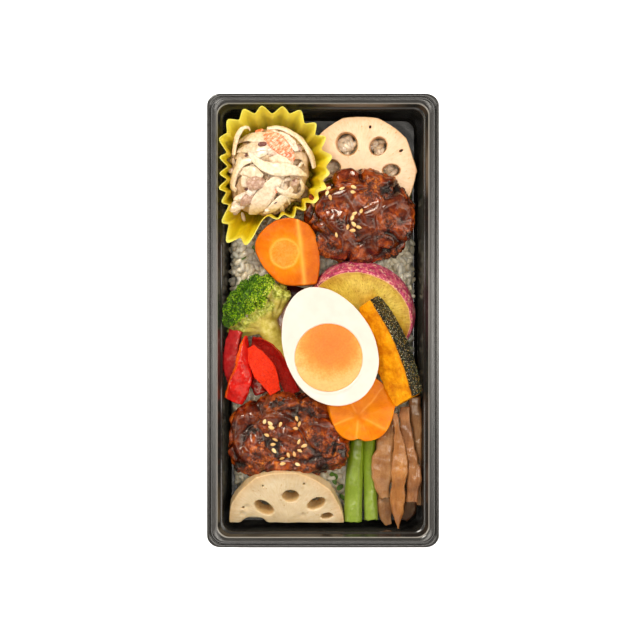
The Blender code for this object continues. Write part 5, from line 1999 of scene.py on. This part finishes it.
def make_salad_bits():
    # flaked fish: a long fibrous chunk at the front left, a rounder one behind it and crumbs about
    tuna = [
        (-40.4, 54.8, 1.0, (5.4, 2.6, 2.0), 32), (-35.6, 57.6, 1.6, (5.0, 2.4, 2.0), 36),
        (-38.6, 58.6, 0.9, (4.2, 1.8, 1.7), 28), (-41.5, 52.6, 0.5, (3.2, 1.8, 1.6), 40),
        (-31.4, 64.8, 1.6, (4.4, 3.3, 1.6), 8), (-33.6, 61.6, 1.3, (2.6, 1.9, 1.5), 50),
        (-13.0, 65.4, 0.9, (2.3, 1.9, 1.2), 80), (-23.6, 78.4, 0.9, (2.6, 1.6, 1.2), 20),
        (-37.9, 49.6, 0.0, (2.2, 1.0, 0.9), 100), (-12.0, 81.6, 1.0, (2.4, 1.6, 1.1), 130),
        (-26.0, 53.4, 0.4, (2.4, 1.4, 1.1), 60), (-43.0, 71.0, 0.0, (1.6, 1.2, 1.0), 10),
    ]
    flakes(
        "salad_tuna",
        tuna,
        salad_finish(
            "salad_tuna", (172, 134, 112), (206, 176, 152), (232, 212, 194), (248, 236, 222), grain=1.3
        ),
        2,
    )
    # sticks of crab meat pulled into fibres
    crab = []
    for points, widths, flat, tint in (
        (
            (
                (-26.6, 89.0, 1.4), (-23.2, 85.8, 2.2), (-19.4, 82.0, 2.8), (-16.2, 78.8, 2.6),
                (-13.6, 75.6, 2.0),
            ),
            (2.8, 4.4, 4.2, 3.0, 1.6), 0.3, 0.35,
        ),
        (
            ((-24.6, 89.4, 1.6), (-19.6, 87.2, 2.4), (-15.0, 84.0, 2.8), (-12.2, 80.0, 2.4)),
            (1.6, 2.6, 2.6, 1.6), 0.26, 0.7,
        ),
        (((-21.0, 81.6, 2.2), (-18.0, 79.0, 2.9), (-15.4, 77.4, 2.7)), (0.8, 1.2, 0.7), 0.6, 0.0),
        (((-31.4, 89.0, 0.9), (-28.6, 90.8, 1.0)), (1.2, 1.0), 0.6, 0.2),
        (((-22.4, 62.4, 2.4), (-21.8, 60.2, 2.2)), (0.7, 0.5), 0.7, 0.3),
    ):
        strip = strand(f"crab_{len(crab)}", points, widths, flat, 0.0, tint, 0.0)
        melt(strip, 0.3, 2)

        def pulled(point, normal):
            along, across = (point.x - point.y) / 7, (point.x + point.y) / 1.4
            fibre = 0.4 * bumps(Vector((across, along, point.z)), 0.8, 3)
            return point + normal * (fibre + 0.9 * bumps(point, 2.4, 6) * (1 - abs(normal.z)))

        shape(strip, pulled)
        crab.append(tinted(strip, tint))
    hand_over(join(crab, "salad_crab"), crab_finish(), "salad", angle=80)
    dark = [
        (-28.4, 83.2, 2.6, (1.9, 0.8, 0.5), 5), (-36.2, 78.2, 2.3, (0.7, 0.5, 0.4), 40),
        (-36.3, 61.8, 2.4, (0.9, 0.6, 0.4), 20), (-13.6, 65.8, 2.1, (0.6, 0.5, 0.4), 0),
        (-22.6, 55.4, 2.4, (1.3, 0.3, 0.3), 30), (-12.4, 67.2, 1.6, (0.5, 0.4, 0.3), 60),
        (-40.8, 83.4, 2.2, (1.2, 0.3, 0.3), 25),
    ]
    flakes("salad_specks", dark, salad_finish("salad_specks", (70, 30, 26), (96, 44, 38), (120, 64, 50)), 7)


# Sesame and herbs


def sesame_finish():
    finish = Finish("sesame", 0.35, 0.5, coat=(0.4, 0.15), inside=(0.25, (1.0, 0.7, 0.3), 0.6))
    own = finish.ramp(
        finish.attribute("tint"), (0.0, 206, 152, 84), (0.5, 226, 182, 112), (1.0, 240, 206, 146)
    )
    finish.colour(own)
    finish.bump(finish.noise(0.5, 2), 0.04, 0.5)
    return finish


def sesame_seed():
    """A seed lying along X, pointed at one end."""
    bpy.ops.mesh.primitive_uv_sphere_add(segments=14, ring_count=10, radius=0.5)
    seed = fresh("sesame_seed")
    settle(seed, (0, 0, 0), (0, 90, 0))

    def drop(point, normal):
        x, y, z = point * MM
        narrow = 1 - 0.75 * max(0.0, x + 0.1) ** 1.2
        return Vector((x * 2.9, y * 1.8 * narrow, z * 1.0 * narrow))

    shape(seed, drop)
    return seed


def sprinkle(tree, spots, draw, sink=0.1):
    """Places on the surface below the spots, each turned at random."""
    places = []
    for x, y in spots:
        found, normal, _, _ = tree.ray_cast(Vector((x, y, 80)) * MM, Vector((0, 0, -1)))
        if found is not None and normal.z > 0.2:
            places.append(
                lying(
                    found + normal * (0.42 - sink) * MM, normal, draw.uniform(0, math.tau),
                    draw.uniform(0.9, 1.08),
                )
            )
    return places


def make_sesame():
    # seeds as they fell, over and below the middle of the meal
    upper = (
        (2.5, 62.5), (2, 60), (3.5, 58), (-4.5, 55), (9, 62), (14.5, 63), (14, 60.5), (18, 51.5), (15, 50.5),
        (14, 48.5), (14.5, 45.5), (11.5, 44), (17, 44), (14, 42.5), (6.5, 40.5),
    )
    lower = (
        (-27.5, -47.5), (-25, -48.5), (-24.5, -50.5), (-20, -49), (-12.5, -46.5), (-11, -49), (-13, -51),
        (-26.5, -54), (-22.5, -56), (-23.5, -58.5), (-23, -61.5), (-11.5, -57), (-9, -59), (-11, -61.5),
        (-13.5, -63), (-16.5, -63.5), (-19.5, -65), (-19, -67.5), (-12, -68),
    )
    draw = random.Random(9)
    places = (
        sprinkle(skin_of("patty_minced_upper"), upper, draw)
        + sprinkle(skin_of("patty_minced_lower"), lower, draw)
    )
    seeds = scatter("sesame_seeds", sesame_seed(), places, 2)
    return hand_over(seeds, sesame_finish(), "glazed_patty", angle=80)


def herb_finish():
    finish = Finish("herb", 0.45, 0.4)
    finish.colour(finish.ramp(finish.noise(1.2, 2), (0.3, 62, 98, 30), (0.7, 112, 150, 56)))
    return finish


def make_herbs():
    draw = random.Random(4)
    spots = [
        (4.2, -73.6), (6.4, -74.6), (5.4, -77.0), (9.3, -84.4), (-42.5, -80.5), (-40.5, -84.0), (-33.0, 34.7),
        (-37.5, 30.0), (41.5, 60.0), (8.0, -80.0),
    ]
    places = sprinkle(skin_of("rice_grains", "rice_core"), spots, draw, 0.2)
    bpy.ops.mesh.primitive_ico_sphere_add(subdivisions=2, radius=1)
    leaf = fresh("herb_bit")

    def crumpled(point, normal):
        x, y, z = point * MM
        return Vector((x * 1.9, y * 1.1, z * 0.3 + 0.4 * x * x)) + normal * 0.25 * bumps(point * MM, 0.5, 3)

    shape(leaf, crumpled)
    herbs = scatter("herb_bits", leaf, places, 6)
    return hand_over(herbs, herb_finish(), "rice", angle=80)


# The meal, laid out

make_tray()
make_cup()
make_salad_core()
make_salad_strands()
make_salad_bits()
make_egg()
make_patties()
make_upper_lotus()
make_lower_lotus()
make_carrot_chunk()
make_carrot_flower()
make_sweet_potato()
make_pumpkin()
make_peppers()
make_beans()
make_mushrooms()
make_eggplant()
make_broccoli()
make_rice_core()
make_rice_grains()
make_sesame()
make_herbs()


# Floor, light and camera


def make_floor():
    bpy.ops.mesh.primitive_plane_add(size=8)
    floor = fresh("floor")
    finish = Finish("floor_white", 0.9, 0.1)
    finish.colour(finish.ramp(finish.noise(400, 2), (0.3, 0.94), (0.7, 0.95)))
    finish.shader.inputs["Emission Color"].default_value = (1, 1, 1, 1)
    finish.shader.inputs["Emission Strength"].default_value = 0.6
    floor.data.materials.append(finish.material)


def add_lamp(name, place, size, power, colour, aim=(0, 0, 0.03)):
    lamp = bpy.data.lights.new(name, "AREA")
    lamp.shape = "RECTANGLE"
    lamp.size, lamp.size_y = size
    lamp.energy = power
    lamp.color = colour
    holder = placed(name, lamp)
    holder.location = place
    holder.rotation_euler = (Vector(aim) - Vector(place)).to_track_quat("-Z", "Y").to_euler()


def make_studio():
    make_floor()
    warm = (1.0, 0.95, 0.87)
    add_lamp("key_softbox", (-0.45, 0.75, 1.0), (0.36, 0.36), 12.8, warm)
    add_lamp("side_softbox", (0.85, 0.25, 0.95), (0.9, 1.1), 5.2, warm)
    add_lamp("low_softbox", (0.0, -0.95, 0.9), (1.2, 0.8), 4.2, warm)
    # narrow lights along both sides draw the bright lines on the tray's rim
    for side, name, power in ((-1, "left", 2.9), (1, "right", 3.8)):
        add_lamp(f"strip_{name}", (side * 0.95, 0.0, 0.42), (1.6, 0.12), 3, warm)
        add_lamp(f"overhead_{name}", (side * 0.42, 0.0, 1.15), (0.1, 1.8), power, warm)
    world = bpy.data.worlds.new("studio")
    world.use_nodes = True
    sky = world.node_tree.nodes["Background"]
    sky.inputs["Color"].default_value = (1.0, 0.96, 0.9, 1)
    sky.inputs["Strength"].default_value = 0.35
    bpy.context.scene.world = world
    bpy.context.scene.view_settings.view_transform = "Standard"
    camera = bpy.data.cameras.new("camera")
    height, span = 1.4, 0.302272
    camera.sensor_width = 36
    camera.lens = camera.sensor_width * height / span
    camera.clip_start, camera.clip_end = 0.05, 20
    holder = placed("camera", camera)
    holder.location = (-0.00142, 0.00024, height + 0.038)
    bpy.context.scene.camera = holder


make_studio()
